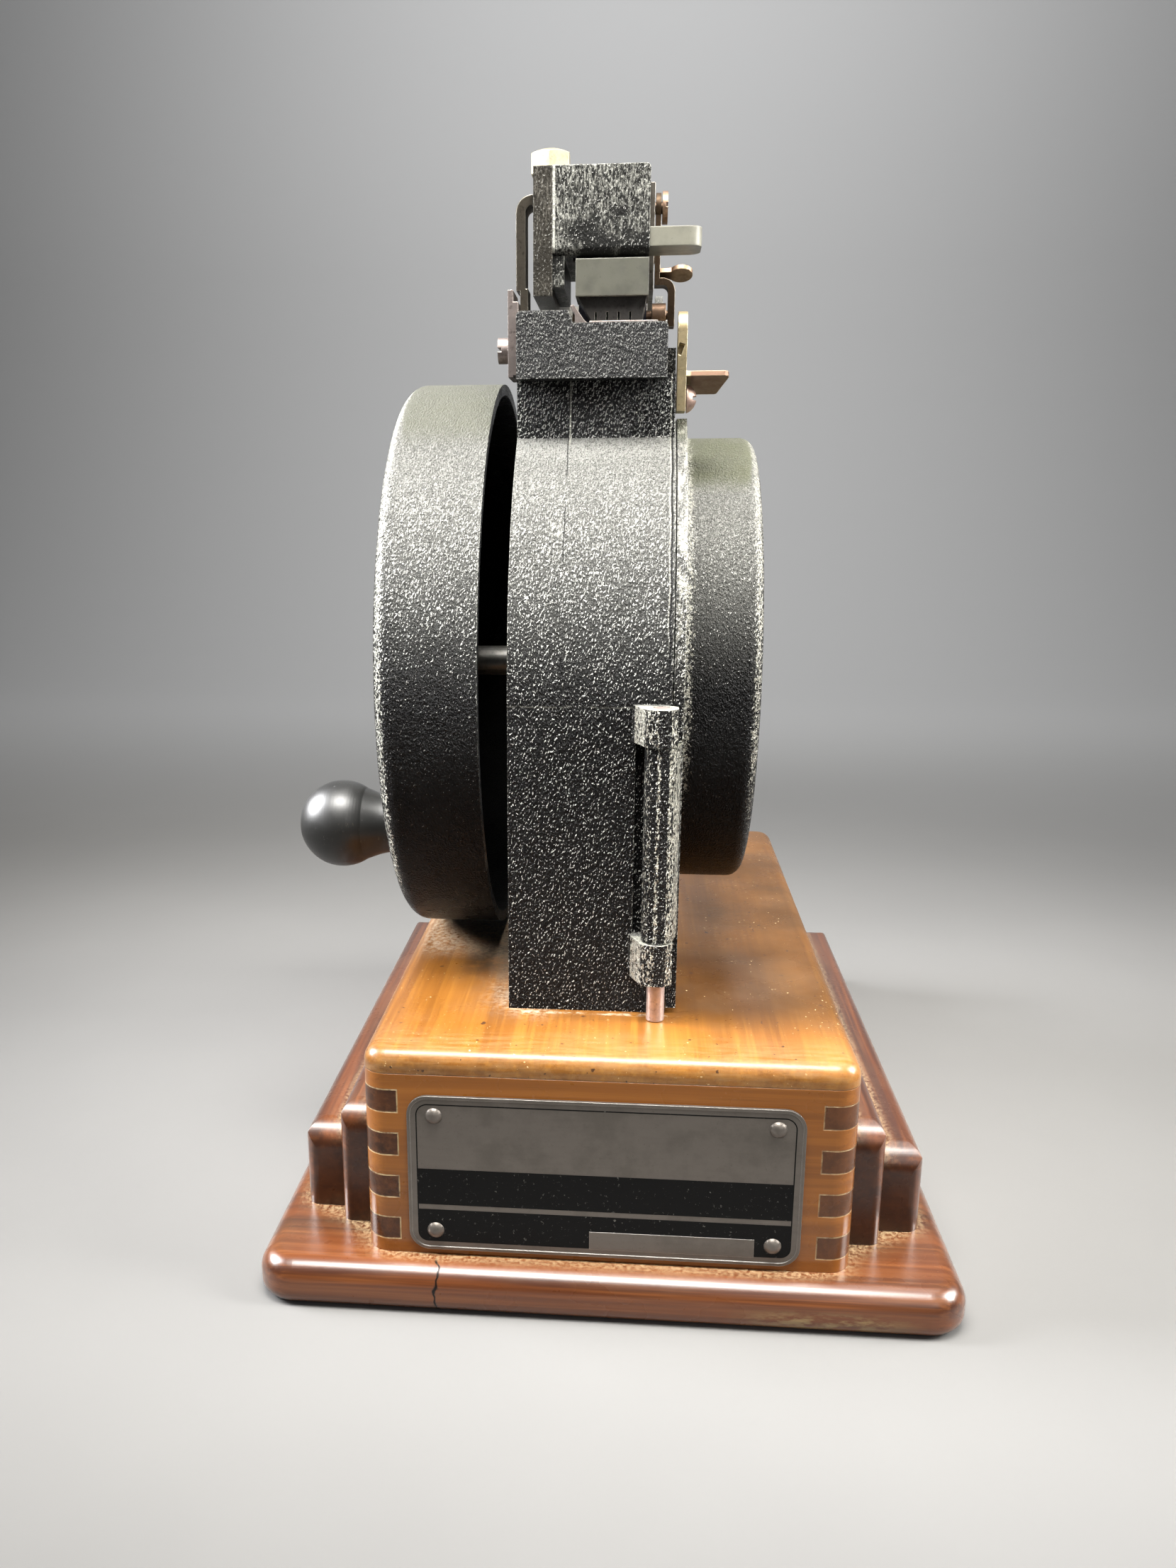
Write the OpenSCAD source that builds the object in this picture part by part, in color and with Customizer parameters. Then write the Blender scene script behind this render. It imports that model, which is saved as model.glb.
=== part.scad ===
// Hand-cranked tag price marking machine on a wooden box.
// Millimetres. X to the right, Y to the back, Z up. Origin under the middle of the bottom board.

/* [Wooden base] */
// Width of the bottom board
board_w = 178; // [172:1:184]
// Length of the bottom board, front to back
board_len = 242; // [238:1:250]
// Thickness of the bottom board
board_t = 12; // [10:0.5:14]
// Radius of the bottom board's upper edge
board_edge = 5.5; // [4:0.5:6]
// Radius of the bottom board's corners
board_corner = 10; // [7:0.5:14]
// Width of the box
box_w = 122; // [118:1:126]
// Length of the box, front to back
box_len = 225; // [218:1:230]
// Height of the box with its lid
box_h = 55.5; // [52:0.5:60]
// Thickness of the lid
lid_t = 6; // [5:0.5:8]
// Thickness of the box walls
wall_t = 9; // [8:0.5:10]
// Radius of the box's upright corners
box_corner = 6; // [4:0.5:8]

/* [Side rails] */
// Width of the inner rail
rail_in_w = 9.2; // [8:0.1:11]
// Height of the inner rail above the board
rail_in_h = 33; // [28:0.5:38]
// Width of the outer rail
rail_out_w = 11.4; // [9:0.1:13]
// Height of the outer rail above the board
rail_out_h = 23.5; // [18:0.5:27]

// Radius of the rails' front and back top edges
rail_end = 7; // [4:0.5:9]

/* [Nameplate] */
// Width of the plate
plate_w = 97.5; // [90:0.5:100]
// Height of the plate
plate_h = 42.5; // [38:0.5:44]

/* [Case] */
// Radius of the round top of the case
case_r = 80.5; // [79.5:0.5:86]
// Width of the case along the shaft
case_w = 41; // [39:0.5:46]
// Thickness of the casting's walls
cast_t = 3; // [2.5:0.1:3.4]
// Least gap between the lid and the crank disc
lid_gap = 1.5; // [1:0.5:6]

/* [Crank] */
// Radius of the crank disc
disc_r = 81; // [76:0.5:81.5]
// Depth of the crank disc
disc_depth = 27; // [24:0.5:30]
// Distance from the shaft to the knob
crank_arm = 60; // [52:0.5:62]
// Diameter of the knob's ball
knob_d = 25; // [22:0.5:26]
// Length of the knob
knob_len = 29.5; // [28:0.5:34]
// Diameter of the drive shaft
shaft_d = 9; // [8:0.5:10]

/* [Roll door] */
// Radius of the round cover
cover_r = 65.5; // [62:0.5:67]
// Depth of the round cover
cover_depth = 20.5; // [18:0.5:24]
// Diameter of the tag roll
roll_d = 112; // [60:1:113]
// Width of the tags
roll_w = 20; // [18:0.5:22]
// Diameter of the hinge barrel
barrel_d = 8.2; // [8:0.1:9]

/* [Head] */
// Depth of the printing block, front to back
cap_depth = 39; // [36:0.5:42]
// Height of the printing block
cap_h = 20.5; // [18:0.5:23]
// Radius of the long edges of the platform and the block
plat_edge = 1.2; // [0.8:0.1:1.6]

/* [Clearances] */
// Radial gap of a turning shaft
run_gap = 0.05; // [0.03:0.01:0.08]
// Gap between sliding faces
slide_gap = 0.15; // [0.1:0.05:0.2]
// Gap between moving pieces that do not touch
free_gap = 0.3; // [0.3:0.05:0.4]

/* [Hidden] */

$fn = 96;
mahogany = [0.36, 0.15, 0.09];
maple = [0.68, 0.42, 0.17];
walnut = [0.25, 0.12, 0.08];
crinkle = [0.10, 0.10, 0.11];
putty = [0.42, 0.42, 0.38];
steel = [0.62, 0.61, 0.58];
brass = [0.66, 0.50, 0.30];
paper = [0.90, 0.87, 0.78];

box_top = board_t + box_h;
box_front_y = -box_len / 2;
axle_y = -2.5;
axle_h = max(disc_r, case_r) + lid_gap;
axle_z = box_top + axle_h;

case_x = -27;
case_x2 = case_x + case_w;
case_in_r = case_r - cast_t;
case_front = axle_y - case_r;
case_back = axle_y + case_r;
neck_top = axle_z + case_r - 1.5;
lintel_z = neck_top - 15;
neck_x2 = case_x2 - 0.4;
neck_front = axle_y - 49.5;
neck_back = axle_y + 49.5;

disc_x = case_x - 7.5;
disc_x2 = disc_x - disc_depth;
disc_t = 3;

flange_x = case_x2 + free_gap;
flange_x2 = flange_x + 2.6;
cover_x2 = flange_x2 + cover_depth;
cover_t = 2.5;
hinge_x = case_x2 - 2.5;
hinge_y = case_front - barrel_d / 2 - free_gap;
pin_d = 4.6;
barrel_z = box_top + 22;
barrel_z2 = box_top + 72;
knuckle_gap = 0.3;

plat_x = case_x + 0.4;
plat_x2 = neck_x2 - 2.4;
step_x = case_x + 13.4;
plat_z = neck_top + 11.5;
plat_front = neck_front - 7;
step_z = plat_z + 3;
slot_y = axle_y - 28.5;

arm_x = case_x + 4.1;
arm_x2 = arm_x + 4.8;
block_x2 = plat_x2 - 5;
stem_x2 = arm_x2 + 4.9;
stem_z = plat_z + 24;
bolt_x = arm_x + 3.7;
index_x = arm_x2 + 6.8;
head_front = neck_front + 1;
head_z = plat_z + 17;
head_top = head_z + cap_h;
pivot_y = neck_back - 11;
pivot_z = plat_z + 12;
pivot_d = 6;
cheek_x = block_x2 + 0.1;
cheek_x2 = cheek_x + 1.2;
holder_depth = 14;
holder_x = arm_x2 + 5.9;
holder_l = block_x2 - holder_x;
tee_y = head_front + 2.2;
tee_w = 10.6;
ink_y = head_front + 23;
ink_z = plat_z + 5.6;
ink_hang_z = plat_z + 32;
ink_arm_x = cheek_x2 + free_gap;

gear_module = 1.5;
drive_teeth = 72;
feed_teeth = 14;
gear_gap = 0.1;
feed_dist = gear_module * (drive_teeth + feed_teeth) / 2 + gear_gap;
feed_angle = 31;
feed_y = axle_y - feed_dist * sin(feed_angle);
feed_z = axle_z + feed_dist * cos(feed_angle);
gear_x = case_x + 7.5;
gear_w = 4.5;
wall_x = case_x + 13;
wall_x2 = wall_x + 2;
feed_d = 5;
feed_tip_d = gear_module * (feed_teeth + 1.8);
cam_r = 14;
cam_lift = 4;
rod_x = case_x + cast_t + 2.3;
rod_d = 3;
rod_z = axle_z + cam_r + cam_lift + 0.6;
rod_top = plat_z + 4.2;

lever_y = neck_front + 5;
lever_z = neck_top - 5.8;
lever_x = neck_x2 + free_gap;
lever_x2 = lever_x + 2.3;
lever_pin_d = 4;

roll_x = wall_x2 + 2;
feed_x2 = case_x2 - 4;
keeper_d = 90;
core_d = 26;
bore_d = 24;
hub_d = bore_d - 2 * run_gap;

// Shared shapes

// Cylinder along X from x1 to x2 round a point (y, z)
module bar_x(x1, x2, y, z, d) {
    translate([x1, y, z]) rotate([0, 90, 0]) cylinder(d = d, h = x2 - x1);
}

// Box given by its two corners
module block(a, b) {
    translate(a) cube(b - a);
}

// Flat shape in the Y-Z plane, thickened from x1 to x2
module plate_x(x1, x2) {
    translate([x1, 0, 0]) rotate([90, 0, 90]) linear_extrude(x2 - x1) children();
}

// Flat shape in the X-Z plane, thickened from y1 to y2
module plate_y(y1, y2) {
    translate([0, y2, 0]) rotate([90, 0, 0]) linear_extrude(y2 - y1) children();
}

// Rectangle with round corners, centred
module round_rect(w, h, r) {
    square([w - 2 * r, h], center = true);
    square([w, h - 2 * r], center = true);
    for (x = [-1, 1], y = [-1, 1])
        translate([x * (w / 2 - r), y * (h / 2 - r)]) circle(r);
}

// Rectangle from y = 0 up with its two upper corners round
module round_top(w, h, r) {
    translate([-w / 2, 0]) square([w, h - r]);
    translate([-w / 2 + r, 0]) square([w - 2 * r, h]);
    for (x = [-1, 1]) translate([x * (w / 2 - r), h - r]) circle(r);
}

// Rectangle from y = 0 up with all its corners round, the lower ones by r2
module round_both(w, h, r, r2) {
    intersection() {
        round_top(w, h, r);
        translate([0, h]) mirror([0, 1]) round_top(w, h, r2);
    }
}

// Cross-section of a board: upper corners round by edge, lower ones by low
module board_profile(w, t, edge, low) {
    if (low > 0) round_both(w, t, edge, low);
    else intersection() {
        round_top(w, t, edge);
        translate([-w / 2, 0]) square([w, t]);
    }
}

// Board standing on z = 0, its edges round over all the way round the corners
module soft_board(w, len, t, edge, low, corner) {
    plate_y(-len / 2 + corner, len / 2 - corner) board_profile(w, t, edge, low);
    plate_x(-w / 2 + corner, w / 2 - corner) board_profile(len, t, edge, low);
    for (c = [[1, 1, 0], [-1, 1, 90], [-1, -1, 180], [1, -1, 270]])
        translate([c[0] * (w / 2 - corner), c[1] * (len / 2 - corner), 0]) rotate(c[2])
            rotate_extrude(angle = 90) intersection() {
                board_profile(2 * corner, t, edge, low);
                square([corner + 1, t]);
            }
}

// Outline of the case seen along the shaft: round top on straight sides
module case_outline(r, z_low) {
    translate([axle_y, axle_z]) circle(r, $fn = 180);
    translate([axle_y - r, z_low]) square([2 * r, axle_z - z_low]);
}

// What a round edge takes off a square corner at the origin, towards -x and -y
module corner_cut(r) {
    difference() {
        translate([-r, -r]) square(r + 1);
        translate([-r, -r]) circle(r);
    }
}

// Slotted screw head along +X from x = 0, cheese shaped
module slot_head(d, h, slot) {
    difference() {
        rotate([0, 90, 0]) cylinder(d = d, h = h);
        translate([h - h / 3, -d, -slot / 2]) cube([h, 2 * d, slot]);
    }
}

// Round head: a slice of a ball, along +X from x = 0
module dome_head(d, h) {
    r = (d * d / 4 + h * h) / (2 * h);
    rotate([0, 90, 0]) rotate_extrude() intersection() {
        translate([0, h - r]) circle(r);
        square([d, h]);
    }
}

// Gear in the X-Y plane with plain sloped teeth; one tooth points along +X
module gear_shape(teeth) {
    r = gear_module * teeth / 2;
    a = 360 / teeth;
    polygon([for (i = [0 : teeth - 1], k = [0 : 3])
        let (
            rr = (k == 1 || k == 2) ? r + 0.9 * gear_module : r - 1.15 * gear_module,
            w = (k == 1 || k == 2) ? 0.10 : 0.33,
            s = k < 2 ? -1 : 1
        ) [rr * cos(a * (i + s * w)), rr * sin(a * (i + s * w))]]);
}

// Bottom board
module base_board() {
    color(mahogany) soft_board(board_w, board_len, board_t, board_edge, board_t / 3, board_corner);
}

// Space of the four box walls: hollow, with round upright corners
module box_walls_space() {
    wall_h = box_h - lid_t;
    translate([0, 0, board_t]) linear_extrude(wall_h) difference() {
        round_rect(box_w, box_len, box_corner);
        square([box_w - 2 * wall_t, box_len - 2 * wall_t], center = true);
    }
}

// Ends of the side walls that show between the fingers of the front and back walls
module finger_bands() {
    pitch = (box_h - lid_t) / 4.2;
    for (i = [0 : 3])
        translate([-box_w, -box_len, board_t + pitch * (0.32 + i)])
            cube([2 * box_w, 2 * box_len, pitch * 0.52]);
}

// One end wall, front (side = -1) or back (side = 1)
module end_wall(side) {
    intersection() {
        box_walls_space();
        difference() {
            translate([-box_w / 2, side < 0 ? -box_len / 2 : box_len / 2 - wall_t, 0])
                cube([box_w, wall_t, box_top]);
            intersection() {
                finger_bands();
                for (x = [-1, 1]) translate([x * (box_w / 2 - wall_t / 2), 0, box_top / 2])
                    cube([wall_t, 2 * box_len, 2 * box_top], center = true);
            }
        }
    }
}

// One side wall, left (side = -1) or right (side = 1), with its four finger ends
module side_wall(side) {
    x = side < 0 ? -box_w / 2 : box_w / 2 - wall_t;
    intersection() {
        box_walls_space();
        union() {
            translate([x, -box_len / 2 + wall_t, 0])
                cube([wall_t, box_len - 2 * wall_t, box_top]);
            intersection() {
                finger_bands();
                translate([x, -box_len / 2, 0]) cube([wall_t, box_len, box_top]);
            }
        }
    }
}

module box_front() {
    color(maple) end_wall(-1);
}

module box_back() {
    color(maple) end_wall(1);
}

module box_side_left() {
    color(walnut) side_wall(-1);
}

module box_side_right() {
    color(walnut) side_wall(1);
}

// Where the four screws stand that hold the case down
module at_case_screws() {
    for (x = [case_x + 10, case_x + 31], y = [-50, 50])
        translate([x, axle_y + y, 0]) children();
}

// Lid of the box, round along its upper edges
module box_lid() {
    color(maple) difference() {
        translate([0, 0, box_top - lid_t])
            soft_board(box_w, box_len, lid_t, lid_t * 0.7, 0, box_corner);
        at_case_screws() translate([0, 0, box_top - lid_t - 1]) cylinder(d = 4.4, h = lid_t + 2);
    }
}

// Wooden strip beside the box, its top, ends and outer upright edges round
module rail(x1, x2, y1, y2, top) {
    w = x2 - x1;
    len = y2 - y1;
    color(mahogany) translate([(x1 + x2) / 2, (y1 + y2) / 2, board_t]) intersection() {
        plate_y(-len / 2, len / 2) round_top(w, top - board_t, w * 0.4);
        plate_x(-w / 2 - 1, w / 2 + 1) round_top(len, top - board_t, rail_end);
        linear_extrude(top) {
            round_rect(w, len, w * 0.3);
            translate([-w / 2, -len / 2]) square([w / 2, len]);
        }
    }
}

module rail_left_inner() {
    mirror([1, 0, 0]) rail_right_inner();
}

module rail_left_outer() {
    mirror([1, 0, 0]) rail_right_outer();
}

module rail_right_inner() {
    rail(box_w / 2, box_w / 2 + rail_in_w, box_front_y + 13, box_len / 2 - 22.5, board_t + rail_in_h);
}

module rail_right_outer() {
    x = box_w / 2 + rail_in_w;
    rail(x, x + rail_out_w, box_front_y + 20, box_len / 2 - 29.5, board_t + rail_out_h);
}

plate_x0 = -0.8;
plate_z0 = board_t + 1.75 + plate_h / 2;
plate_t = 0.8;

// Where the four pins of the plate stand
module at_plate_pins() {
    for (x = [-1, 1], z = [-1, 1])
        translate([plate_x0 + x * (plate_w / 2 - 6.7), box_front_y, plate_z0 + z * (plate_h / 2 - 5.4)])
            children();
}

// Plain plate with a thin raised rim
module nameplate() {
    color(steel) difference() {
        translate([plate_x0, 0, plate_z0])
            plate_y(box_front_y - plate_t, box_front_y) round_rect(plate_w, plate_h, 5.2);
        translate([plate_x0, 0, plate_z0])
            plate_y(box_front_y - plate_t - 1, box_front_y - plate_t + 0.2)
                round_rect(plate_w - 1.6, plate_h - 1.6, 4.4);
        at_plate_pins() rotate([90, 0, 0]) translate([0, 0, -1]) cylinder(d = 2.1, h = 3);
    }
}

// Four round-headed drive pins
module nameplate_pins() {
    color(steel) at_plate_pins() {
        rotate([90, 0, 0]) cylinder(d = 2, h = plate_t);
        translate([0, -plate_t + 0.2, 0]) rotate([0, 0, -90]) dome_head(4.4, 1.3);
    }
}

// Four wood screws up through the lid into the case floor
module case_screws() {
    color(steel) at_case_screws() {
        translate([0, 0, box_top - lid_t - 2.2]) cylinder(d = 8, h = 2.2);
        translate([0, 0, box_top - lid_t]) cylinder(d = 4, h = lid_t + cast_t + 2);
    }
}

// Knuckle of the hinge on the case, from z1 to z2: a faceted boss round the pin
module knuckle(z1, z2) {
    r = barrel_d / 2 + 0.5;
    translate([hinge_x, 0, z1]) linear_extrude(z2 - z1) polygon([
        [-r - 2.6, case_front + 1], [-r - 2.6, case_front - 0.4], [-r + 0.7, hinge_y - r + 1],
        [-1.7, hinge_y - r], [1.5, hinge_y - r], [r - 0.7, hinge_y - 2.2], [r - 0.7, hinge_y + 1.4],
        [case_x2 - 0.4 - hinge_x, case_front - 1], [case_x2 - 0.4 - hinge_x, case_front + 1]]);
}

// Case: one casting, open to the right, with its neck and hinge knuckles
module main_case() {
    color(crinkle) difference() {
        union() {
            difference() {
                union() {
                    plate_x(case_x, case_x2) case_outline(case_r, box_top);
                    block([case_x, neck_front, axle_z], [neck_x2, neck_back, neck_top]);
                    bar_x(case_x - 2, case_x, axle_y, axle_z, 22);
                }
                plate_x(case_x + cast_t, case_x2 + 1) intersection() {
                    case_outline(case_in_r, box_top + cast_t);
                    translate([axle_y - 100, 0]) square([200, lintel_z]);
                }
                block([-200, -200, neck_top], [200, 200, neck_top + 100]);
                block([neck_x2, -200, lintel_z + 4], [200, 200, neck_top + 1]);
                bar_x(case_x + cast_t, wall_x, feed_y, feed_z, feed_tip_d + 1.2);
            }
            knuckle(barrel_z - 11.3, barrel_z - knuckle_gap);
            knuckle(barrel_z2 + knuckle_gap, barrel_z2 + 9.5);
            for (p = [[-58, 40], [58, 40], [-58, -60], [58, -60]])
                bar_x(case_x + cast_t - 0.5, wall_x, axle_y + p[0], axle_z + p[1], 8);
            bar_x(case_x + cast_t - 0.5, case_x + cast_t + 0.5, axle_y, axle_z, 18);
        }
        block([hinge_x - barrel_d / 2 - 2.3, case_front - 1, barrel_z - knuckle_gap],
            [case_x2 + 1, case_front + cast_t / 2, barrel_z2 + knuckle_gap]);
        bar_x(case_x - 3, case_x + cast_t + 2, axle_y, axle_z, shaft_d + 5);
        bar_x(case_x + 1.2, case_x + 10, feed_y, feed_z, feed_d + 2 * run_gap);
        translate([hinge_x, hinge_y, box_top]) cylinder(d = pin_d + 0.1, h = 100);
        translate([rod_x, axle_y, lintel_z - 20]) cylinder(d = rod_d + 2 * run_gap, h = 60);
        block([step_x + 0.6, slot_y - 1.5, lintel_z - 20], [plat_x2 - 1.2, slot_y + 1.5, neck_top + 1]);
        at_case_screws() translate([0, 0, box_top - 1]) cylinder(d = 4.1, h = cast_t + 2);
        bar_x(neck_x2 - 6, neck_x2 + 1, lever_y, lever_z, lever_pin_d + 0.1);
    }
}

// Bronze bush of the drive shaft
module shaft_bush() {
    color(brass) difference() {
        bar_x(case_x - 3, case_x + cast_t + 0.5, axle_y, axle_z, shaft_d + 4.9);
        bar_x(case_x - 4, case_x + 10, axle_y, axle_z, shaft_d + 2 * run_gap);
    }
}

// Wall between the gears and the tag roll
module mechanism_plate() {
    color(steel) difference() {
        plate_x(wall_x, wall_x2) intersection() {
            case_outline(case_in_r - 0.3, box_top + cast_t + 0.3);
            translate([axle_y - 100, 0]) square([200, lintel_z - 0.3]);
        }
        bar_x(wall_x - 1, wall_x2 + 1, axle_y, axle_z, shaft_d + 2 * run_gap);
        bar_x(wall_x - 1, wall_x2 + 1, feed_y, feed_z, feed_d + 2 * run_gap);
        block([wall_x - 1, axle_y - 25, box_top + cast_t + 8], [wall_x2 + 1, axle_y + 25, box_top + 20]);
    }
}

// Pin of the door hinge, standing on the lid
module hinge_pin() {
    color(brass) translate([hinge_x, hinge_y, box_top + 0.2])
        cylinder(d = pin_d, h = barrel_z2 + 9.2 - box_top);
}

// Ear that holds the head's pivot pin, seen from the side
module ear_shape() {
    difference() {
        union() {
            translate([pivot_y, pivot_z]) circle(8);
            translate([pivot_y - 8, plat_z - 1]) square([16, pivot_z - plat_z + 1]);
            polygon([[pivot_y - 18, plat_z - 1], [pivot_y - 7.6, pivot_z + 2],
                [pivot_y, pivot_z], [pivot_y, plat_z - 1]]);
        }
        translate([pivot_y, pivot_z]) circle(d = pivot_d + 0.1);
    }
}

// Casting on top of the neck: printing platform in front, ears behind
module platform() {
    color(crinkle) difference() {
        union() {
            block([plat_x, plat_front, neck_top], [plat_x2, neck_back, plat_z]);
            block([plat_x, plat_front, neck_top - 1.5], [plat_x2, neck_front - free_gap, neck_top + 1]);
            plate_y(plat_front, neck_back - 24) polygon([[plat_x, plat_z - 1], [plat_x, step_z],
                [step_x, step_z], [step_x + 1.2, plat_z], [step_x + 1.2, plat_z - 1]]);
            block([plat_x2 - 1, lever_y + 1, neck_top], [neck_x2, lever_y + 12, neck_top + 6.8]);
            plate_x(plat_x, arm_x - free_gap) ear_shape();
            plate_x(cheek_x2 + 1.2, plat_x2) ear_shape();
        }
        plate_y(plat_front - 1, pivot_y - 19) {
            translate([plat_x2, plat_z]) corner_cut(plat_edge);
            translate([plat_x, step_z]) mirror([1, 0]) corner_cut(plat_edge);
        }
        translate([rod_x, axle_y, neck_top - 1]) cylinder(d = rod_d + 2 * run_gap, h = 60);
        block([step_x + 0.6, slot_y - 1.5, neck_top - 1], [plat_x2 - 1.2, slot_y + 1.5, plat_z + 1]);
        bar_x(plat_x - 1, plat_x + 6, head_front + 4, plat_z - 5, 3.1);
    }
}

// Thin steel plate the type prints against
module anvil_plate() {
    color(steel) block([step_x + 5.2, plat_front + 2, plat_z], [plat_x2 - 2.6, slot_y - 3, plat_z + 0.6]);
}

// Bent sheet that leads the tags past the type
module paper_guide() {
    color(steel) plate_y(plat_front + 1.5, plat_front + 7) translate([step_x, plat_z])
        polygon([[1.6, 0], [5, 0], [4, 0.7], [1.3, 4.4], [0.4, 4.1], [1.6, 2.2]]);
}

// Steel plates on the left of the platform
module side_plate() {
    color(steel) difference() {
        union() {
            block([plat_x - 2.6, plat_front + 6, plat_z - 12], [plat_x - 1.3, plat_front + 20, plat_z + 8.8]);
            block([plat_x - 1.3, plat_front + 6, neck_top], [plat_x, plat_front + 20, plat_z + 6]);
        }
        bar_x(plat_x - 4, plat_x + 1, head_front + 4, plat_z - 5, 3.1);
    }
}

module side_plate_screw() {
    color(brass) {
        bar_x(plat_x - 2.6, plat_x + 5, head_front + 4, plat_z - 5, 3);
        translate([plat_x - 2.6, head_front + 4, plat_z - 5]) mirror([1, 0, 0]) slot_head(6.4, 3, 1);
    }
}

// Bent strap on the left that keeps the head from swaying
module side_strap() {
    x1 = plat_x + 0.2;
    x2 = arm_x - free_gap;
    top = plat_z + 31.5;
    r = x2 - x1 + 1;
    z = plat_z + 9.2;
    color(steel) plate_y(head_front + 2, head_front + 10) {
        translate([x1, step_z]) square([2, z + 0.4 - step_z]);
        translate([x2 - r, z]) square([2.4, top - r - z]);
        translate([x2, top - r]) intersection() {
            difference() {
                circle(r);
                circle(r - 2.4);
            }
            translate([-r, 0]) square(r);
        }
    }
}

module head_pivot_pin() {
    color(steel) {
        bar_x(plat_x - 1.5, plat_x2 + 1.5, pivot_y, pivot_z, pivot_d);
        bar_x(plat_x - 2.5, plat_x - free_gap, pivot_y, pivot_z, pivot_d + 3);
    }
}

// Round-headed screw the release lever turns on
module lever_screw() {
    color(brass) {
        bar_x(neck_x2 - 5, lever_x2 + free_gap, lever_y, lever_z, lever_pin_d);
        translate([lever_x2 + free_gap, lever_y, lever_z]) difference() {
            dome_head(7.2, 2.6);
            translate([1.5, -5, -0.5]) cube([3, 10, 1]);
        }
    }
}

// Crank disc: a deep dish, open to the case
module crank_disc() {
    r2 = disc_r - disc_t;
    color(crinkle) difference() {
        union() {
            translate([disc_x2, axle_y, axle_z]) rotate([0, 90, 0]) rotate_extrude($fn = 180)
                difference() {
                    union() {
                        square([disc_r - 5, disc_depth]);
                        translate([0, 5]) square([disc_r, disc_depth - 5]);
                        translate([disc_r - 5, 5]) circle(5);
                    }
                    translate([0, disc_t]) square([r2 - 4, disc_depth]);
                    translate([0, disc_t + 4]) square([r2, disc_depth]);
                    translate([r2 - 4, disc_t + 4]) circle(4);
                    translate([-20, -10]) square([20, 60]);
                }
            bar_x(disc_x2, disc_x2 + 15, axle_y, axle_z, 26);
            knob_place() bar_x(0, disc_t + 3, 0, 0, 14);
        }
        bar_x(disc_x2 - 1, disc_x2 + 20, axle_y, axle_z, shaft_d);
        knob_place() bar_x(-1, 10, 0, 0, 5);
    }
}

// Point on the disc's outer face where the knob stands
module knob_place() {
    translate([disc_x2, axle_y - crank_arm * sin(45), axle_z - crank_arm * cos(45)]) children();
}

module drive_shaft() {
    color(steel) bar_x(disc_x2 - 1, wall_x2 - 0.2, axle_y, axle_z, shaft_d);
}

// Domed nut on the end of the shaft
module crank_nut() {
    color(steel) difference() {
        union() {
            translate([disc_x2 - 4, axle_y, axle_z]) rotate([0, 90, 0]) cylinder(d = 17, h = 4, $fn = 6);
            translate([disc_x2 - 4, axle_y, axle_z]) mirror([1, 0, 0]) dome_head(13, 3);
        }
        bar_x(disc_x2 - 1, disc_x2 + 1, axle_y, axle_z, shaft_d);
    }
}

// Large gear on the drive shaft
module drive_gear() {
    tilt = 90 + feed_angle - 180 / drive_teeth;
    color(brass) difference() {
        union() {
            plate_x(gear_x, gear_x + gear_w) translate([axle_y, axle_z]) rotate(tilt)
                gear_shape(drive_teeth);
            bar_x(gear_x, wall_x - 0.4, axle_y, axle_z, 18);
        }
        bar_x(gear_x - 1, wall_x + 1, axle_y, axle_z, shaft_d);
        for (a = [0 : 60 : 300]) bar_x(gear_x - 1, wall_x, axle_y + 31 * cos(a), axle_z + 31 * sin(a), 20);
    }
}

// Off-centre disc that lifts the rod once each turn
module lift_cam() {
    color(steel) difference() {
        bar_x(rod_x - 1.5, gear_x, axle_y, axle_z + cam_lift, 2 * cam_r);
        bar_x(rod_x - 2, gear_x + 1, axle_y, axle_z, shaft_d);
    }
}

// Screw the knob turns on
module knob_spindle() {
    color(steel) knob_place() {
        bar_x(-knob_len + 4, 0, 0, 0, 6);
        bar_x(-0.01, disc_t + 3, 0, 0, 5);
        bar_x(-knob_len + 2, -knob_len + 4, 0, 0, 9);
    }
}

// Half profile of the knob, along its length from the disc to the tip
module knob_profile() {
    r = knob_d / 2;
    tip = knob_len + 0.3;
    polygon(concat(
        [[0, free_gap], [8.4, free_gap], [8.8, 0.9], [8.5, 1.8]],
        [for (t = [0 : 0.1 : 1]) [8.2 + (r * sin(124) - 8.2) * (t * t * (1.5 - 0.5 * t)),
            2.3 + t * (tip - r + r * cos(124) - 2.3)]],
        [for (a = [120 : -4 : 0]) [r * sin(a), tip - r + r * cos(a)]]
    ));
}

module crank_knob() {
    color(crinkle) knob_place() difference() {
        rotate([0, -90, 0]) rotate_extrude() knob_profile();
        bar_x(-knob_len - 2, 1, 0, 0, 6 + 2 * run_gap);
        bar_x(-knob_len - 2, -knob_len + 4 + free_gap, 0, 0, 9 + 2 * free_gap);
    }
}

module feed_shaft() {
    color(steel) bar_x(case_x + 1.5, feed_x2 + 1, feed_y, feed_z, feed_d);
}

// Small gear on the feed shaft
module feed_gear() {
    color(brass) difference() {
        plate_x(gear_x, gear_x + gear_w) translate([feed_y, feed_z]) rotate(feed_angle - 90)
            gear_shape(feed_teeth);
        bar_x(gear_x - 1, wall_x, feed_y, feed_z, feed_d);
    }
}

// Rubber roller that pushes the tags up
module feed_roller() {
    color(crinkle) difference() {
        bar_x(roll_x, feed_x2, feed_y, feed_z, 13);
        bar_x(roll_x - 1, feed_x2 + 1, feed_y, feed_z, feed_d);
    }
}

// Rod from the cam to the head arm
module lift_rod() {
    color(steel) {
        translate([rod_x, axle_y, rod_z]) cylinder(d = rod_d, h = rod_top - rod_z);
        translate([rod_x, axle_y, rod_z]) cylinder(d = rod_d + 0.2, h = 6);
    }
}

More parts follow.
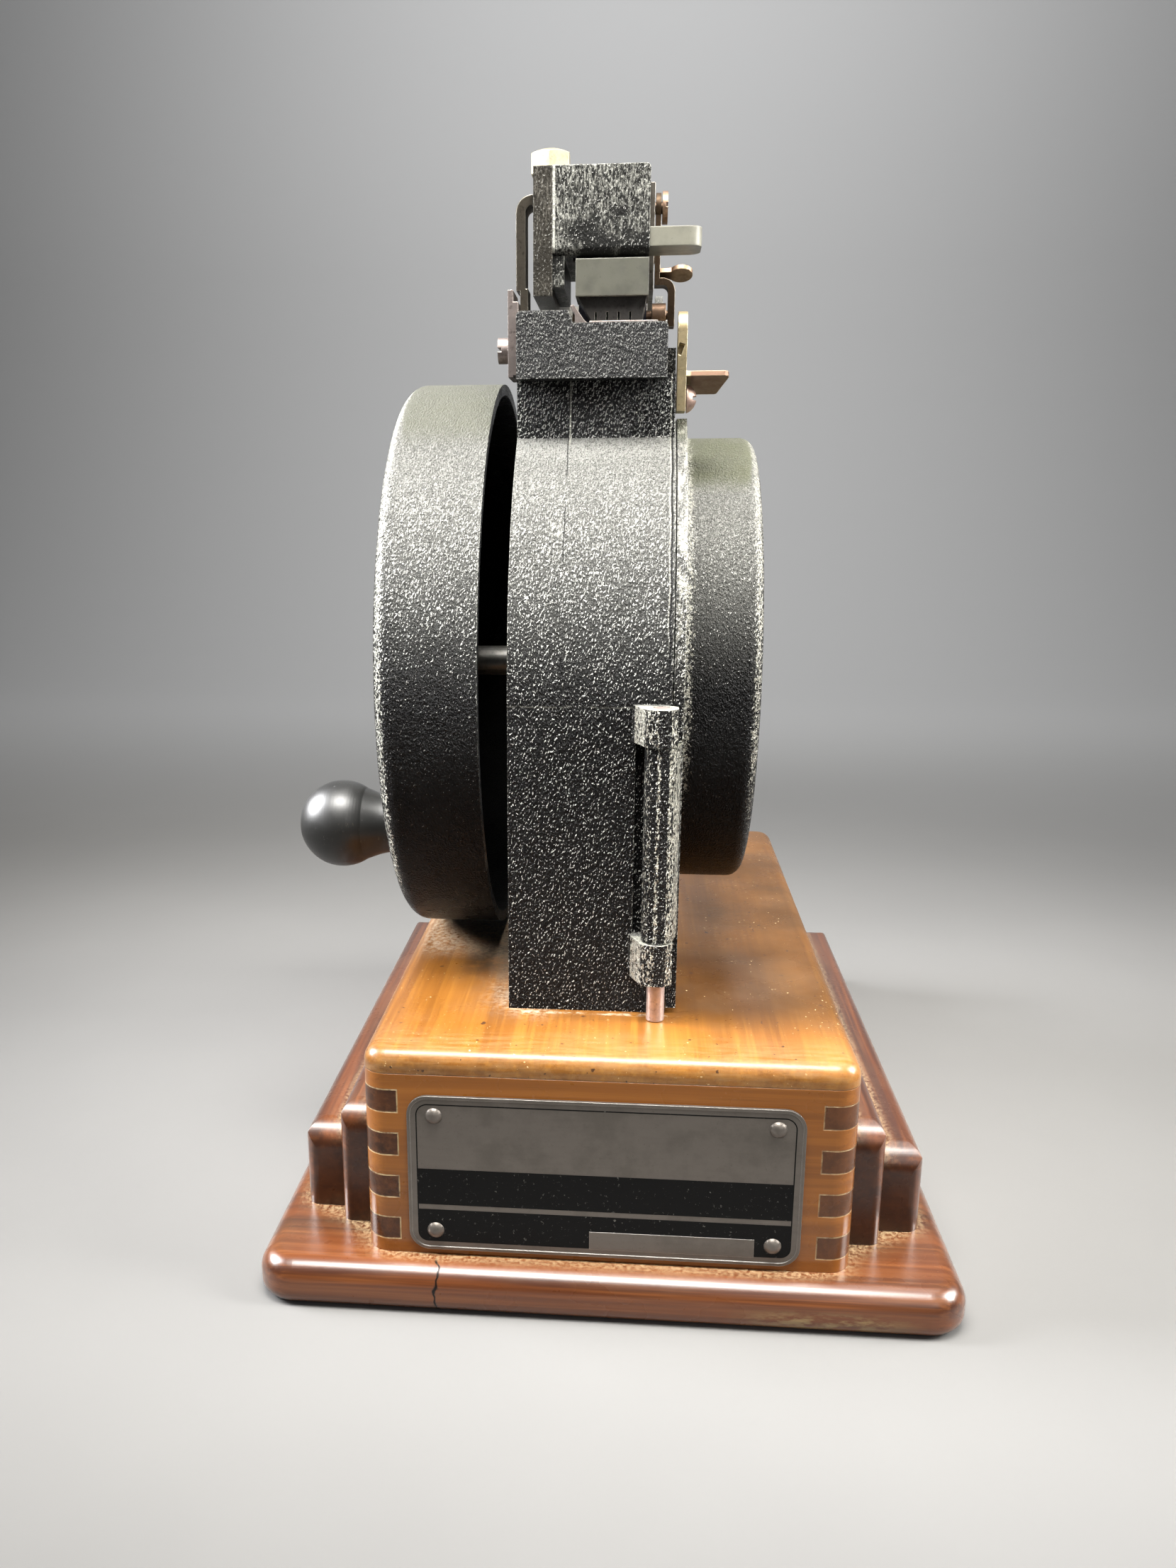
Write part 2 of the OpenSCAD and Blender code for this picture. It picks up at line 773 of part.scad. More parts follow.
// Door over the tag roll: flange, round cover and hinge barrel in one casting
module roll_door() {
    color(crinkle) difference() {
        union() {
            plate_x(flange_x, flange_x2) intersection() {
                case_outline(case_r, box_top + 1.5);
                translate([axle_y - 100, 0]) square([200, lintel_z + 4.5]);
            }
            translate([flange_x2, axle_y, axle_z]) rotate([0, 90, 0]) rotate_extrude($fn = 180) {
                square([cover_r - 4, cover_depth]);
                square([cover_r, cover_depth - 4]);
                translate([cover_r - 4, cover_depth - 4]) circle(4);
                difference() {
                    square([cover_r + 2, 2]);
                    translate([cover_r + 2, 2]) circle(2);
                }
            }
            translate([hinge_x, hinge_y, barrel_z]) cylinder(d = barrel_d, h = barrel_z2 - barrel_z);
            translate([0, 0, barrel_z]) linear_extrude(barrel_z2 - barrel_z) polygon([
                [hinge_x, hinge_y - 1.5], [hinge_x + barrel_d / 2 - 0.4, hinge_y - 1.5],
                [flange_x2, case_front + 0.6], [flange_x2, case_front + 6], [flange_x, case_front + 6],
                [flange_x, hinge_y + 1.5], [hinge_x, hinge_y + 1.5]]);
        }
        translate([flange_x - 1, axle_y, axle_z]) rotate([0, 90, 0]) rotate_extrude($fn = 180)
            union() {
                square([cover_r - cover_t - 3, 1 + cover_x2 - flange_x - cover_t]);
                square([cover_r - cover_t, 1 + cover_x2 - flange_x - cover_t - 3]);
                translate([cover_r - cover_t - 3, 1 + cover_x2 - flange_x - cover_t - 3]) circle(3);
            }
        translate([hinge_x, hinge_y, barrel_z - 1]) cylinder(d = pin_d + 2 * run_gap, h = 60);
    }
}

// Hub inside the cover that carries the roll
module roll_spindle() {
    color(steel) {
        bar_x(roll_x - 1, cover_x2 - cover_t, axle_y, axle_z, hub_d);
        bar_x(cover_x2 - cover_t - 2, cover_x2 - cover_t, axle_y, axle_z, 40);
    }
}

// Disc that keeps the roll in line
module roll_flange() {
    color(steel) difference() {
        bar_x(roll_x + roll_w + 0.5, roll_x + roll_w + 2.5, axle_y, axle_z, keeper_d);
        bar_x(roll_x, roll_x + roll_w + 3, axle_y, axle_z, hub_d);
        for (a = [0 : 60 : 300]) bar_x(roll_x, 40, axle_y + 29 * cos(a), axle_z + 29 * sin(a), 15);
    }
}

module tag_roll() {
    color(paper) difference() {
        bar_x(roll_x, roll_x + roll_w, axle_y, axle_z, roll_d);
        bar_x(roll_x - 1, roll_x + roll_w + 1, axle_y, axle_z, core_d);
    }
}

module roll_core() {
    color(maple) difference() {
        bar_x(roll_x, roll_x + roll_w, axle_y, axle_z, core_d);
        bar_x(roll_x - 1, roll_x + roll_w + 1, axle_y, axle_z, bore_d);
    }
}

// Brass lever on the right of the neck with its thumb tab
module release_lever() {
    color(brass) difference() {
        union() {
            plate_x(lever_x, lever_x2) {
                translate([lever_y - 4.4, lever_z - 3.3]) square([8.8, 20]);
                translate([lever_y, lever_z + 16.7]) circle(4.4);
            }
            translate([lever_x2 - 0.5, lever_y - 4.4, lever_z + 5.2]) rotate([-16, 0, 0])
                linear_extrude(1.3)
                    polygon([[0, 0], [10.2, 0], [11, 0.4], [11.3, 1.4], [8.9, 12.3], [8.3, 12.8], [0, 12.8]]);
        }
        bar_x(lever_x - 1, lever_x2 + 1, lever_y, lever_z, lever_pin_d + 2 * run_gap);
        translate([lever_x - 0.5, lever_y - 5, lever_z + 10.6]) rotate([0, 20, 0]) cube([1.4, 3, 2.8]);
    }
}

// Left arm of the head, from the pivot to the front
module head_arm() {
    color(crinkle) difference() {
        union() {
            plate_x(arm_x, arm_x2) {
                translate([0, plat_z]) polygon([[head_front, 7.5], [head_front, 17 + cap_h],
                    [head_front + cap_depth, 17 + cap_h], [pivot_y - 1, 19.2], [pivot_y - 2, 5],
                    [head_front + cap_depth, 7.5]]);
                translate([pivot_y, pivot_z]) circle(7.5);
            }
            block([arm_x, head_front + 5, stem_z], [stem_x2, head_front + 17, head_top]);
            bar_x(arm_x, arm_x2 + 4.1, pivot_y, pivot_z, 11);
        }
        bar_x(arm_x - 1, arm_x2 + 8, pivot_y, pivot_z, pivot_d + 2 * run_gap);
        translate([bolt_x, head_front + 11, head_top - 12]) cylinder(d = 5, h = 20);
    }
}

// Block above the type, with the slot the type holder slides in
module head_block() {
    color(crinkle) difference() {
        union() {
            difference() {
                block([arm_x2, head_front, head_z], [block_x2, head_front + cap_depth, head_top]);
                difference() {
                    block([arm_x2 - 1, head_front - 1, head_z - 1],
                        [block_x2 + 1, head_front + 2, head_z + 2]);
                    bar_x(arm_x2 - 2, block_x2 + 2, head_front + 2, head_z + 2, 4);
                }
            }
            block([arm_x2, head_front + 1, head_z - 7.3], [arm_x2 + 3, head_front + cap_depth - 5, head_z]);
        }
        block([arm_x2 - 1, head_front + 5, stem_z], [stem_x2, head_front + 17, head_top + 1]);
        plate_y(head_front - 1, head_front + cap_depth + 1) translate([block_x2, head_top]) corner_cut(plat_edge);
        block([holder_x - 1, tee_y + 2.8 - slide_gap, head_z - 1],
            [block_x2 + 1, tee_y + tee_w - 2.8 + slide_gap, head_z + 2]);
        block([holder_x - 1, tee_y - slide_gap, head_z + 1.7 - slide_gap],
            [block_x2 + 1, tee_y + tee_w + slide_gap, head_z + 6.2 + slide_gap]);
        translate([index_x, head_front + 6, head_top - 4]) cylinder(d = 1.4, h = 10);
        bar_x(block_x2 - 6, block_x2 + 1, head_front + cap_depth - 5, head_z + 6, 3.1);
    }
}

// Hexagon bolt on top of the head
module head_bolt() {
    color(brass) translate([bolt_x, head_front + 11, head_top]) {
        translate([0, 0, -11]) cylinder(d = 5, h = 11);
        intersection() {
            rotate(30) cylinder(d = 11, h = 6.1, $fn = 6);
            translate([0, 0, -4.7]) sphere(r = 11);
        }
    }
}

module index_pin() {
    color(brass) translate([index_x, head_front + 6, head_top - 4]) cylinder(d = 1.4, h = 5.3);
}

// Steel cheek on the right of the head, back to the pivot
module head_cheek() {
    color(steel) difference() {
        union() {
            plate_x(cheek_x, cheek_x2) {
                translate([0, plat_z]) polygon([[head_front + 15, 24.5], [head_front + 15, 16 + cap_h],
                    [head_front + cap_depth, 16 + cap_h], [pivot_y - 1, 19.2], [pivot_y - 2, 5],
                    [head_front + cap_depth, 11], [head_front + 17.5, 11], [head_front + 17.5, 24.5]]);
                translate([pivot_y, pivot_z]) circle(7.5);
            }
            bar_x(cheek_x - 12.3, cheek_x2 + 0.8, pivot_y, pivot_z, 11);
        }
        bar_x(cheek_x - 13.3, cheek_x2 + 2, pivot_y, pivot_z, pivot_d + 2 * run_gap);
        bar_x(cheek_x - 1, cheek_x2 + 1, head_front + cap_depth - 5, head_z + 6, 3.1);
        bar_x(cheek_x - 1, cheek_x2 + 1, ink_y, ink_hang_z, 2.5);
    }
}

// Screw that holds the cheek to the block
module cheek_screw() {
    color(brass) translate([0, head_front + cap_depth - 5, head_z + 6]) {
        bar_x(block_x2 - 5, cheek_x2, 0, 0, 3);
        translate([cheek_x2, 0, 0]) slot_head(5.5, 1.6, 0.8);
    }
}

// Slotted shoulder screw the ink arm hangs from
module ink_pivot() {
    color(brass) translate([0, ink_y, ink_hang_z]) {
        bar_x(cheek_x, cheek_x2, 0, 0, 2.4);
        bar_x(cheek_x2, ink_arm_x + 1.4 + free_gap, 0, 0, 3);
        translate([ink_arm_x + 1.4 + free_gap, 0, 0]) slot_head(8, 1.4, 1);
    }
}

// Grey block that holds the type, with its sliding tongue
module type_holder() {
    z = plat_z + 16.1;
    color(putty) {
        block([holder_x, head_front, plat_z + 7.3], [block_x2, head_front + holder_depth, z]);
        block([holder_x, tee_y + 2.8, z - 0.5], [block_x2, tee_y + tee_w - 2.8, head_z + 2]);
        block([holder_x, tee_y, head_z + 1.7], [block_x2, tee_y + tee_w, head_z + 6.2]);
    }
}

// Row of type slugs under the holder, narrower at the printing face
module type_slugs() {
    z1 = plat_z + 1.3;
    z2 = plat_z + 7.3;
    color(steel) difference() {
        plate_y(head_front + 1.5, head_front + holder_depth - 1.5)
            polygon([[holder_x + 4.2, z1], [block_x2 - 1.6, z1], [block_x2 - 0.4, z2], [holder_x + 0.6, z2]]);
        for (i = [1 : 4]) translate([holder_x + 2 + i * (holder_l - 3.9) / 5, head_front - 1, z1 - 1])
            cube([0.5, holder_depth + 2, 3.4]);
    }
}

// Tab for pulling the type holder out
module holder_tab() {
    y1 = head_front + 0.6;
    color(putty) translate([block_x2, y1, head_z + 1.7]) linear_extrude(4.5) {
        square([9.8, 12.8]);
        translate([0, 3.2]) square([13, 6.4]);
        for (y = [3.2, 9.6]) translate([9.8, y]) circle(3.2);
    }
}

// Hanging strap that carries the ink roller on its hooked end
module ink_arm() {
    x = ink_arm_x;
    color(brass) difference() {
        union() {
            plate_x(x, x + 1.4) {
                translate([ink_y, ink_hang_z]) circle(3.6);
                translate([ink_y - 2.8, plat_z + 12.9]) square([5.6, ink_hang_z - plat_z - 12.9]);
            }
            plate_y(ink_y - 2.8, ink_y + 2.8) {
                translate([x, plat_z + 12.7]) square([2.2, 1.8]);
                translate([x + 3.7, plat_z + 2.4]) square([1.8, 8.8]);
                translate([x + 2.1, plat_z + 11.1]) intersection() {
                    difference() {
                        circle(3.4);
                        circle(1.6);
                    }
                    square(4);
                }
            }
        }
        bar_x(x - 1, x + 2, ink_y, ink_hang_z, 3 + 2 * run_gap);
        bar_x(x + 3.5, x + 7, ink_y, ink_z, 2.4);
    }
}

// Thumb piece of the ink arm, a spoon bent downwards at the back
module ink_finger() {
    color(brass) translate([ink_arm_x + 1.4, ink_y, plat_z + 15.4]) rotate([-24, 0, 0])
        linear_extrude(1.2) {
            polygon([[0, -1.6], [3, -1.7], [5.6, -3.1], [5.6, 3.1], [3, 1.7], [0, 1.6]]);
            translate([5.6, 0]) circle(3.1);
        }
}

// Spindle of the ink roller with its round end
module ink_spindle() {
    color(brass) {
        bar_x(step_x - 0.4, ink_arm_x + 5.3, ink_y, ink_z, 2.4);
        bar_x(cheek_x + 1, ink_arm_x + 3.2, ink_y, ink_z, 6);
    }
}

module ink_roller() {
    color(crinkle) difference() {
        bar_x(step_x + 1.4, block_x2 - 0.4, ink_y, ink_z, 8.8);
        bar_x(step_x, block_x2 + 1, ink_y, ink_z, 2.4 + 2 * run_gap);
    }
}

base_board();
box_front();
box_back();
box_side_left();
box_side_right();
box_lid();
rail_left_inner();
rail_left_outer();
rail_right_inner();
rail_right_outer();
nameplate();
nameplate_pins();
case_screws();
main_case();
shaft_bush();
mechanism_plate();
hinge_pin();
platform();
anvil_plate();
paper_guide();
side_plate();
side_plate_screw();
side_strap();
head_pivot_pin();
lever_screw();
crank_disc();
drive_shaft();
crank_nut();
drive_gear();
lift_cam();
knob_spindle();
crank_knob();
feed_shaft();
feed_gear();
feed_roller();
lift_rod();
roll_door();
roll_spindle();
roll_flange();
tag_roll();
roll_core();
release_lever();
head_arm();
head_block();
head_bolt();
index_pin();
head_cheek();
cheek_screw();
ink_pivot();
type_holder();
type_slugs();
holder_tab();
ink_arm();
ink_finger();
ink_spindle();
ink_roller();
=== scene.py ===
"""Visual scene of the price marking machine: materials, small details, light and camera."""
import math

import bmesh
import bpy
from mathutils import Matrix, Vector


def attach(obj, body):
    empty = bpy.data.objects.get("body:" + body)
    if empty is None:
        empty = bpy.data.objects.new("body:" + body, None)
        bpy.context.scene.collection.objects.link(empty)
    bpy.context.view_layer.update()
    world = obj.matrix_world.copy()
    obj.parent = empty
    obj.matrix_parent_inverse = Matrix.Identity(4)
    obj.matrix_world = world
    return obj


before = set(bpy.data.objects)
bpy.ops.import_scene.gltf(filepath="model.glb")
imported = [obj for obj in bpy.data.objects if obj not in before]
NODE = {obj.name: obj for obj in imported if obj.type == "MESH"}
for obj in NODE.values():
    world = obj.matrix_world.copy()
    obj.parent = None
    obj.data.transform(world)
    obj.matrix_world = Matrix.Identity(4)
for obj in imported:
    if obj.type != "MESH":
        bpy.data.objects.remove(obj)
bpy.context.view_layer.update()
MM = 0.001

# Places on the machine that the materials and the print follow, in millimetres
AXLE_Y, AXLE_Z = -2.5, 150.0  # axle of the crank and of the roll
BOX_HALF_X, BOX_HALF_Y = 52.0, 103.5  # outer faces of the box
BOX_FOOT_Z, BOX_WALL_H, FINGER_PITCHES = 12.0, 49.5, 4.2  # walls of the box and their finger joints
SCRATCH_X, SEAM_X = -13.6, 13.1  # upright marks in the front of the case
ROLL_R, TAGS, TAG_LENGTH, WIND = 56.0, 17, 20.7, 0.55  # roll of tags; WIND is one turn's thickness
PLATE_X, PLATE_Z, PLATE_Y = -0.8, 35.0, -113.1  # middle of the nameplate's front
PLATE_HALF_W, PLATE_HALF_H = 97.5 / 2, 42.5 / 2


# ---------------------------------------------------------------- material helper
class Mat:
    """One procedural material; lengths in its nodes are millimetres of the part's own frame."""

    def __init__(self, name, **sockets):
        self.m = bpy.data.materials.new(name)
        self.m.use_nodes = True
        self.t = self.m.node_tree
        self.b = self.t.nodes["Principled BSDF"]
        self.set(**sockets)
        ins = {0: self.n("ShaderNodeTexCoord").outputs["Object"], 1: (1000, 1000, 1000)}
        self.p = self.n("ShaderNodeVectorMath", ins, operation="MULTIPLY").outputs[0]

    def put(self, socket, value):
        """Links the socket to another's output, or sets its own number or colour."""
        if isinstance(value, bpy.types.NodeSocket):
            self.t.links.new(value, socket)
        elif isinstance(value, tuple) and len(value) == 3 and socket.type == "RGBA":
            socket.default_value = (*value, 1)
        else:
            socket.default_value = value

    def set(self, **sockets):
        """Sets inputs of the surface shader; a space in a name is written _."""
        for name, value in sockets.items():
            self.put(self.b.inputs[name.replace("_", " ")], value)

    def n(self, kind, ins=None, **attrs):
        """A new node with its attributes and inputs set."""
        node = self.t.nodes.new(kind)
        for name, value in attrs.items():
            setattr(node, name, value)
        for key, value in (ins or {}).items():
            self.put(node.inputs[key], value)
        return node

    def noise(self, size, detail=3.0, rough=0.5, warp=0.0, stretch=(1, 1, 1), loc=(0, 0, 0)):
        """Noise in patches of about size mm, longer along an axis whose stretch is under 1."""
        scale = tuple(s / size for s in stretch)
        v = self.n("ShaderNodeMapping",
                   {"Vector": self.p, "Scale": scale, "Location": loc}).outputs[0]
        return self.n("ShaderNodeTexNoise", {"Vector": v, "Scale": 1.0, "Detail": detail,
                                             "Roughness": rough, "Distortion": warp}).outputs[0]

    def math(self, op, a, b=0.0, clamp=False):
        return self.n("ShaderNodeMath", {0: a, 1: b}, operation=op, use_clamp=clamp).outputs[0]

    def fold(self, op, xs):
        r = xs[0]
        for x in xs[1:]:
            r = self.math(op, r, x)
        return r

    def mul(self, *xs):
        return self.fold("MULTIPLY", xs)

    def add(self, *xs):
        return self.fold("ADD", xs)

    def most(self, *xs):
        """The largest of several values."""
        return self.fold("MAXIMUM", xs)

    def sub(self, a, b):
        return self.math("SUBTRACT", a, b)

    def inv(self, x):
        """1 minus x."""
        return self.sub(1.0, x)

    def step(self, x, lo, hi):
        """Smooth rise from 0 at lo to 1 at hi."""
        ins = {"Value": x, "From Min": lo, "From Max": hi}
        return self.n("ShaderNodeMapRange", ins, interpolation_type="SMOOTHSTEP").outputs[0]

    def lin(self, x, lo, hi, a, b):
        """Straight change from a at lo to b at hi, and level outside them."""
        ins = {"Value": x, "From Min": lo, "From Max": hi, "To Min": a, "To Max": b}
        return self.n("ShaderNodeMapRange", ins).outputs[0]

    def band(self, x, centre, half, soft):
        """1 where x is within half of centre."""
        d = self.math("ABSOLUTE", self.sub(x, centre))
        return self.inv(self.step(d, half - soft, half + soft))

    def below(self, x, a, soft):
        """1 where x is under a."""
        return self.inv(self.step(x, a - soft, a + soft))

    def mix(self, f, a, b):
        """Colour a where f is 0, b where it is 1."""
        return self.n("ShaderNodeMix", {0: f, 6: a, 7: b}, data_type="RGBA",
                      blend_type="MIX").outputs[2]

    def paint(self, where, colour):
        """Lays a colour over the material's colour where the mask is 1."""
        self.color = self.mix(where, self.color, colour)

    def bump(self, height, strength, dist_mm, normal=None):
        ins = {"Height": height, "Strength": strength, "Distance": dist_mm * MM}
        if normal is not None:
            ins["Normal"] = normal
        return self.n("ShaderNodeBump", ins).outputs[0]

    def xyz(self):
        return self.n("ShaderNodeSeparateXYZ", {0: self.p}).outputs

    def from_axle(self):
        """Y and Z from the axle, and the distance from it."""
        _, y, z = self.xyz()
        dy, dz = self.sub(y, AXLE_Y), self.sub(z, AXLE_Z)
        return dy, dz, self.math("SQRT", self.add(self.mul(dy, dy), self.mul(dz, dz)))

    def facing(self, axis):
        """The true surface's direction along X, Y or Z, -1 to 1."""
        g = self.n("ShaderNodeNewGeometry").outputs["Normal"]
        return self.n("ShaderNodeSeparateXYZ", {0: g}).outputs[axis]

    def up(self):
        """How far the true surface faces up, -1 to 1."""
        return self.facing(2)

    def fore(self):
        """How far the true surface faces the front, -1 to 1."""
        return self.mul(self.facing(1), -1.0)

    def aside(self):
        """How far the true surface faces left or right, 0 to 1."""
        return self.math("ABSOLUTE", self.facing(0))

    def bevel(self, r_mm):
        return self.n("ShaderNodeBevel", {"Radius": r_mm * MM}, samples=4).outputs[0]

    def edge(self, bevelled, lo, hi):
        """1 on edges within the bevel's radius, 0 on flats."""
        g = self.n("ShaderNodeNewGeometry").outputs["True Normal"]
        d = self.n("ShaderNodeVectorMath", {0: bevelled, 1: g},
                   operation="DOT_PRODUCT").outputs["Value"]
        return self.step(self.inv(d), lo, hi)

    def ao(self, dist_mm):
        return self.n("ShaderNodeAmbientOcclusion", {"Distance": dist_mm * MM},
                      samples=6).outputs["AO"]


# ---------------------------------------------------------------- wood
GLUE = (0.62, 0.46, 0.24)
LONG_GRAIN, FINE_GRAIN = 0.035, 0.02  # how far the figure and the streaks draw out along the grain
PORE, GLOSS = 0.5, 0.2


def wood(name, dark, mid, light, axis, ring, coat, contrast, haze=0.12, ior=1.5):
    """Varnished wood with its grain along axis 0, 1 or 2."""
    m = Mat(name, Coat_Weight=coat, Coat_Roughness=haze, Coat_IOR=ior, Specular_IOR_Level=0.3)
    long, fine = (tuple(drawn if i == axis else 1.0 for i in range(3))
                  for drawn in (LONG_GRAIN, FINE_GRAIN))
    warp = m.noise(45, 2, 0.5, stretch=long)
    rings = m.noise(ring, 3, 0.6, 0.6, stretch=long)
    streak = m.noise(1.6, 3, 0.65, stretch=fine)
    pores = m.noise(PORE, 2, 0.5, stretch=fine)
    m.color = m.mix(m.step(rings, 0.32, 0.68), dark, mid)
    m.paint(m.mul(m.step(streak, 0.42, 0.75), 0.55 * contrast), light)
    m.paint(m.mul(m.step(warp, 0.45, 0.75), 0.4), dark)
    m.paint(m.mul(m.step(pores, 0.60, 0.72), 0.35 * contrast), tuple(v * 0.45 for v in dark))
    m.height = m.add(m.mul(streak, 0.5), m.mul(m.noise(14, 2), 0.8),
                     m.mul(m.noise(0.9, 3, 0.7), 0.35))
    m.set(Roughness=m.lin(m.noise(20, 4, 0.6), 0.3, 0.7, GLOSS, GLOSS + 0.18))
    return m


def finish_wood(m, radius, wear, wear_amount, dust=0.0, dust_color=None, reach=None, film=None,
                crack=None, zone=None, dull=None):
    """Adds edge wear, dust in corners and a softened edge, and sets colour and normal.

    Dust lies within reach mm of a corner, inside zone, and as a thin film on tops. The varnish is
    dull under dust, in a crack and where dull is 1.
    """
    bev = m.bevel(radius)
    e = m.edge(bev, 0.03, 0.35)
    spots = m.step(m.noise(3.5, 4, 0.7), 0.50, 0.66)
    m.paint(m.mul(e, spots, wear_amount), wear)
    if crack is not None:
        m.paint(crack, (0.004, 0.002, 0.001))
        m.height = m.sub(m.height, m.mul(crack, 4.0))
    if dust:
        crease = m.inv(m.step(m.ao(reach), 0.35, 0.92))
        if zone is not None:
            crease = m.mul(crease, zone)
        up = m.step(m.up(), 0.2, 0.9)
        grit = m.step(m.noise(1.1, 4, 0.7), 0.36, 0.62)
        thin = m.mul(m.step(m.noise(30, 4, 0.6), 0.42, 0.72), film)
        settled = m.math("ADD", m.mul(crease, grit), thin, clamp=True)
        f = m.math("MULTIPLY", m.mul(up, dust), settled, clamp=True)
        m.paint(f, dust_color)
        rough = m.b.inputs["Roughness"].links[0].from_socket
        m.set(Roughness=m.add(rough, m.mul(f, 0.5)))
        for mask in (crack, dull):
            if mask is not None:
                f = m.most(f, mask)
        coat = m.b.inputs["Coat Weight"].default_value
        m.set(Coat_Weight=m.sub(coat, m.mul(f, coat)))
    m.set(Base_Color=m.color, Normal=m.bump(m.height, 0.22, 0.25, bev))


def finger_lines(m):
    """Pale glue lines round the fingers at the box's corners, fainter on the right."""
    x, y, z = m.xyz()
    pitch = BOX_WALL_H / FINGER_PITCHES
    half = 0.52 * pitch
    turns = m.sub(m.math("DIVIDE", m.sub(z, BOX_FOOT_Z), pitch), 0.32)
    t = m.mul(m.math("FRACT", turns), pitch)
    ends = m.math("MINIMUM", t, m.sub(pitch, t))
    d = m.math("MINIMUM", ends, m.math("ABSOLUTE", m.sub(t, half)))
    inside = m.mul(m.step(z, 15.4, 15.6), m.inv(m.step(z, 57.4, 57.7)))
    ax, ay = m.math("ABSOLUTE", x), m.math("ABSOLUTE", y)
    ex = m.step(ax, BOX_HALF_X - 0.3, BOX_HALF_X)
    ey = m.step(ay, BOX_HALF_Y - 0.3, BOX_HALF_Y)
    level = m.mul(m.inv(m.step(d, 0.08, 0.30)), ex, ey)
    finger = m.inv(m.step(t, half - 0.05, half + 0.05))
    up_x = m.mul(m.band(ax, BOX_HALF_X, 0.16, 0.12), ey, finger)
    up_y = m.mul(m.band(ay, BOX_HALF_Y, 0.16, 0.12), ex, m.inv(finger))
    # painted light: the glue lines fade towards the right, as the right side is painted lighter
    right_light_fade = m.lin(m.step(x, -10, 10), 0, 1, 1.0, 0.55)
    broken = m.lin(m.noise(3.5, 3, 0.7), 0.38, 0.58, 0.20, 1.0)
    return m.mul(m.most(level, up_x, up_y), inside, right_light_fade, broken)


# Mahogany bottom board, with a check in its front edge and a bare rubbed patch
mb = wood("mahogany_board", (0.045, 0.012, 0.004), (0.150, 0.042, 0.010), (0.26, 0.090, 0.026),
          axis=0, ring=8, coat=1.0, contrast=0.9, haze=0.28, ior=1.6)
x, y, z = mb.xyz()
wob = mb.lin(mb.noise(7, 3, 0.6), 0.3, 0.7, -1.1, 1.1)
check = mb.mul(mb.band(mb.sub(x, wob), -41.8, 0.30, 0.18), mb.inv(mb.step(y, -116.5, -113.5)))
rub = mb.mul(mb.band(x, 54, 15, 12), mb.band(z, 3.6, 2.2, 1.6), mb.inv(mb.step(y, -118.5, -116)),
             mb.step(mb.noise(2.4, 4, 0.7, stretch=(0.25, 1, 1)), 0.42, 0.6))
mb.paint(mb.mul(rub, 0.8), (0.34, 0.24, 0.10))
finish_wood(mb, 0.6, wear=(0.50, 0.30, 0.18), wear_amount=0.65, dust=0.70,
            dust_color=(0.52, 0.385, 0.215), reach=8, film=0.07, crack=check,
            dull=mb.mul(mb.step(mb.fore(), 0.75, 0.97), 0.55))

# Mahogany rails with dark end grain on their fronts, painted darker still as painted shade
mr = wood("mahogany_rail", (0.042, 0.011, 0.004), (0.130, 0.036, 0.009), (0.24, 0.082, 0.025),
          axis=1, ring=7, coat=1.0, contrast=0.9, haze=0.30, ior=1.6)
end_grain_and_shade = mr.mul(mr.step(mr.fore(), 0.80, 0.97), 0.72)
mr.paint(end_grain_and_shade, (0.020, 0.007, 0.003))
finish_wood(mr, 0.6, wear=(0.60, 0.40, 0.25), wear_amount=0.85, dust=0.9,
            dust_color=(0.62, 0.46, 0.28), reach=7, film=0.03, dull=end_grain_and_shade)

# Amber front and back, darker towards the board
mf = wood("maple_front", (0.19, 0.060, 0.006), (0.31, 0.103, 0.010), (0.43, 0.160, 0.020),
          axis=0, ring=14, coat=0.45, contrast=0.7)
mf.paint(mf.mul(mf.inv(mf.step(mf.xyz()[2], 14, 30)), 0.35), (0.16, 0.055, 0.018))
mf.paint(mf.mul(finger_lines(mf), 0.8), GLUE)
finish_wood(mf, 0.5, wear=(0.62, 0.38, 0.16), wear_amount=0.4)

# Amber lid, darker and mottled round the case's foot; painted shade and a painted shadow right of
# the case, and the disc's painted shadow left of it
ml = wood("maple_lid", (0.175, 0.064, 0.011), (0.290, 0.112, 0.017), (0.42, 0.185, 0.030),
          axis=1, ring=12, coat=0.42, contrast=0.8, haze=0.30)
x, y, _ = ml.xyz()
foot = ml.mul(ml.band(x, -6.5, 27, 9), ml.band(y, -2, 86, 9),
              ml.step(ml.noise(9, 4, 0.6), 0.36, 0.66))
stain = ml.mul(ml.step(ml.noise(17, 5, 0.62, loc=(3, 7, 1)), 0.60, 0.72), 0.22)
# painted shade: the lid under and behind the roll cover is darkened where the cover's shadow falls
shade = ml.mul(ml.step(x, 8, 34), ml.step(y, -106, -74),
               ml.lin(ml.noise(25, 3), 0.35, 0.65, 0.66, 0.96))
# painted shadow of the roll cover, darkest just right of the case
near = ml.mul(ml.step(x, 8, 18), ml.below(x, 46, 8), ml.band(y, -60, 26, 10), 0.6)
grit = ml.mul(ml.step(ml.noise(0.95, 2, 0.5, loc=(4, 8, 2)), 0.70, 0.73),
              ml.step(ml.noise(16, 3, 0.6, loc=(1, 1, 5)), 0.44, 0.58), 0.85)
lint = ml.mul(ml.band(y, -85.0, 0.75, 0.5), ml.band(x, -5.5, 20.0, 1.5),
              ml.step(ml.noise(2.2, 4, 0.7), 0.42, 0.60), 0.75)
# pale streaks along the front edge: scratched varnish, and painted highlight paling the edge's
# shine
front_scratches_and_highlight = ml.mul(ml.below(y, -101, 7),
              ml.lin(ml.noise(1.2, 4, 0.7, stretch=(0.15, 1, 1)), 0.35, 0.65, 0.0, 0.40))
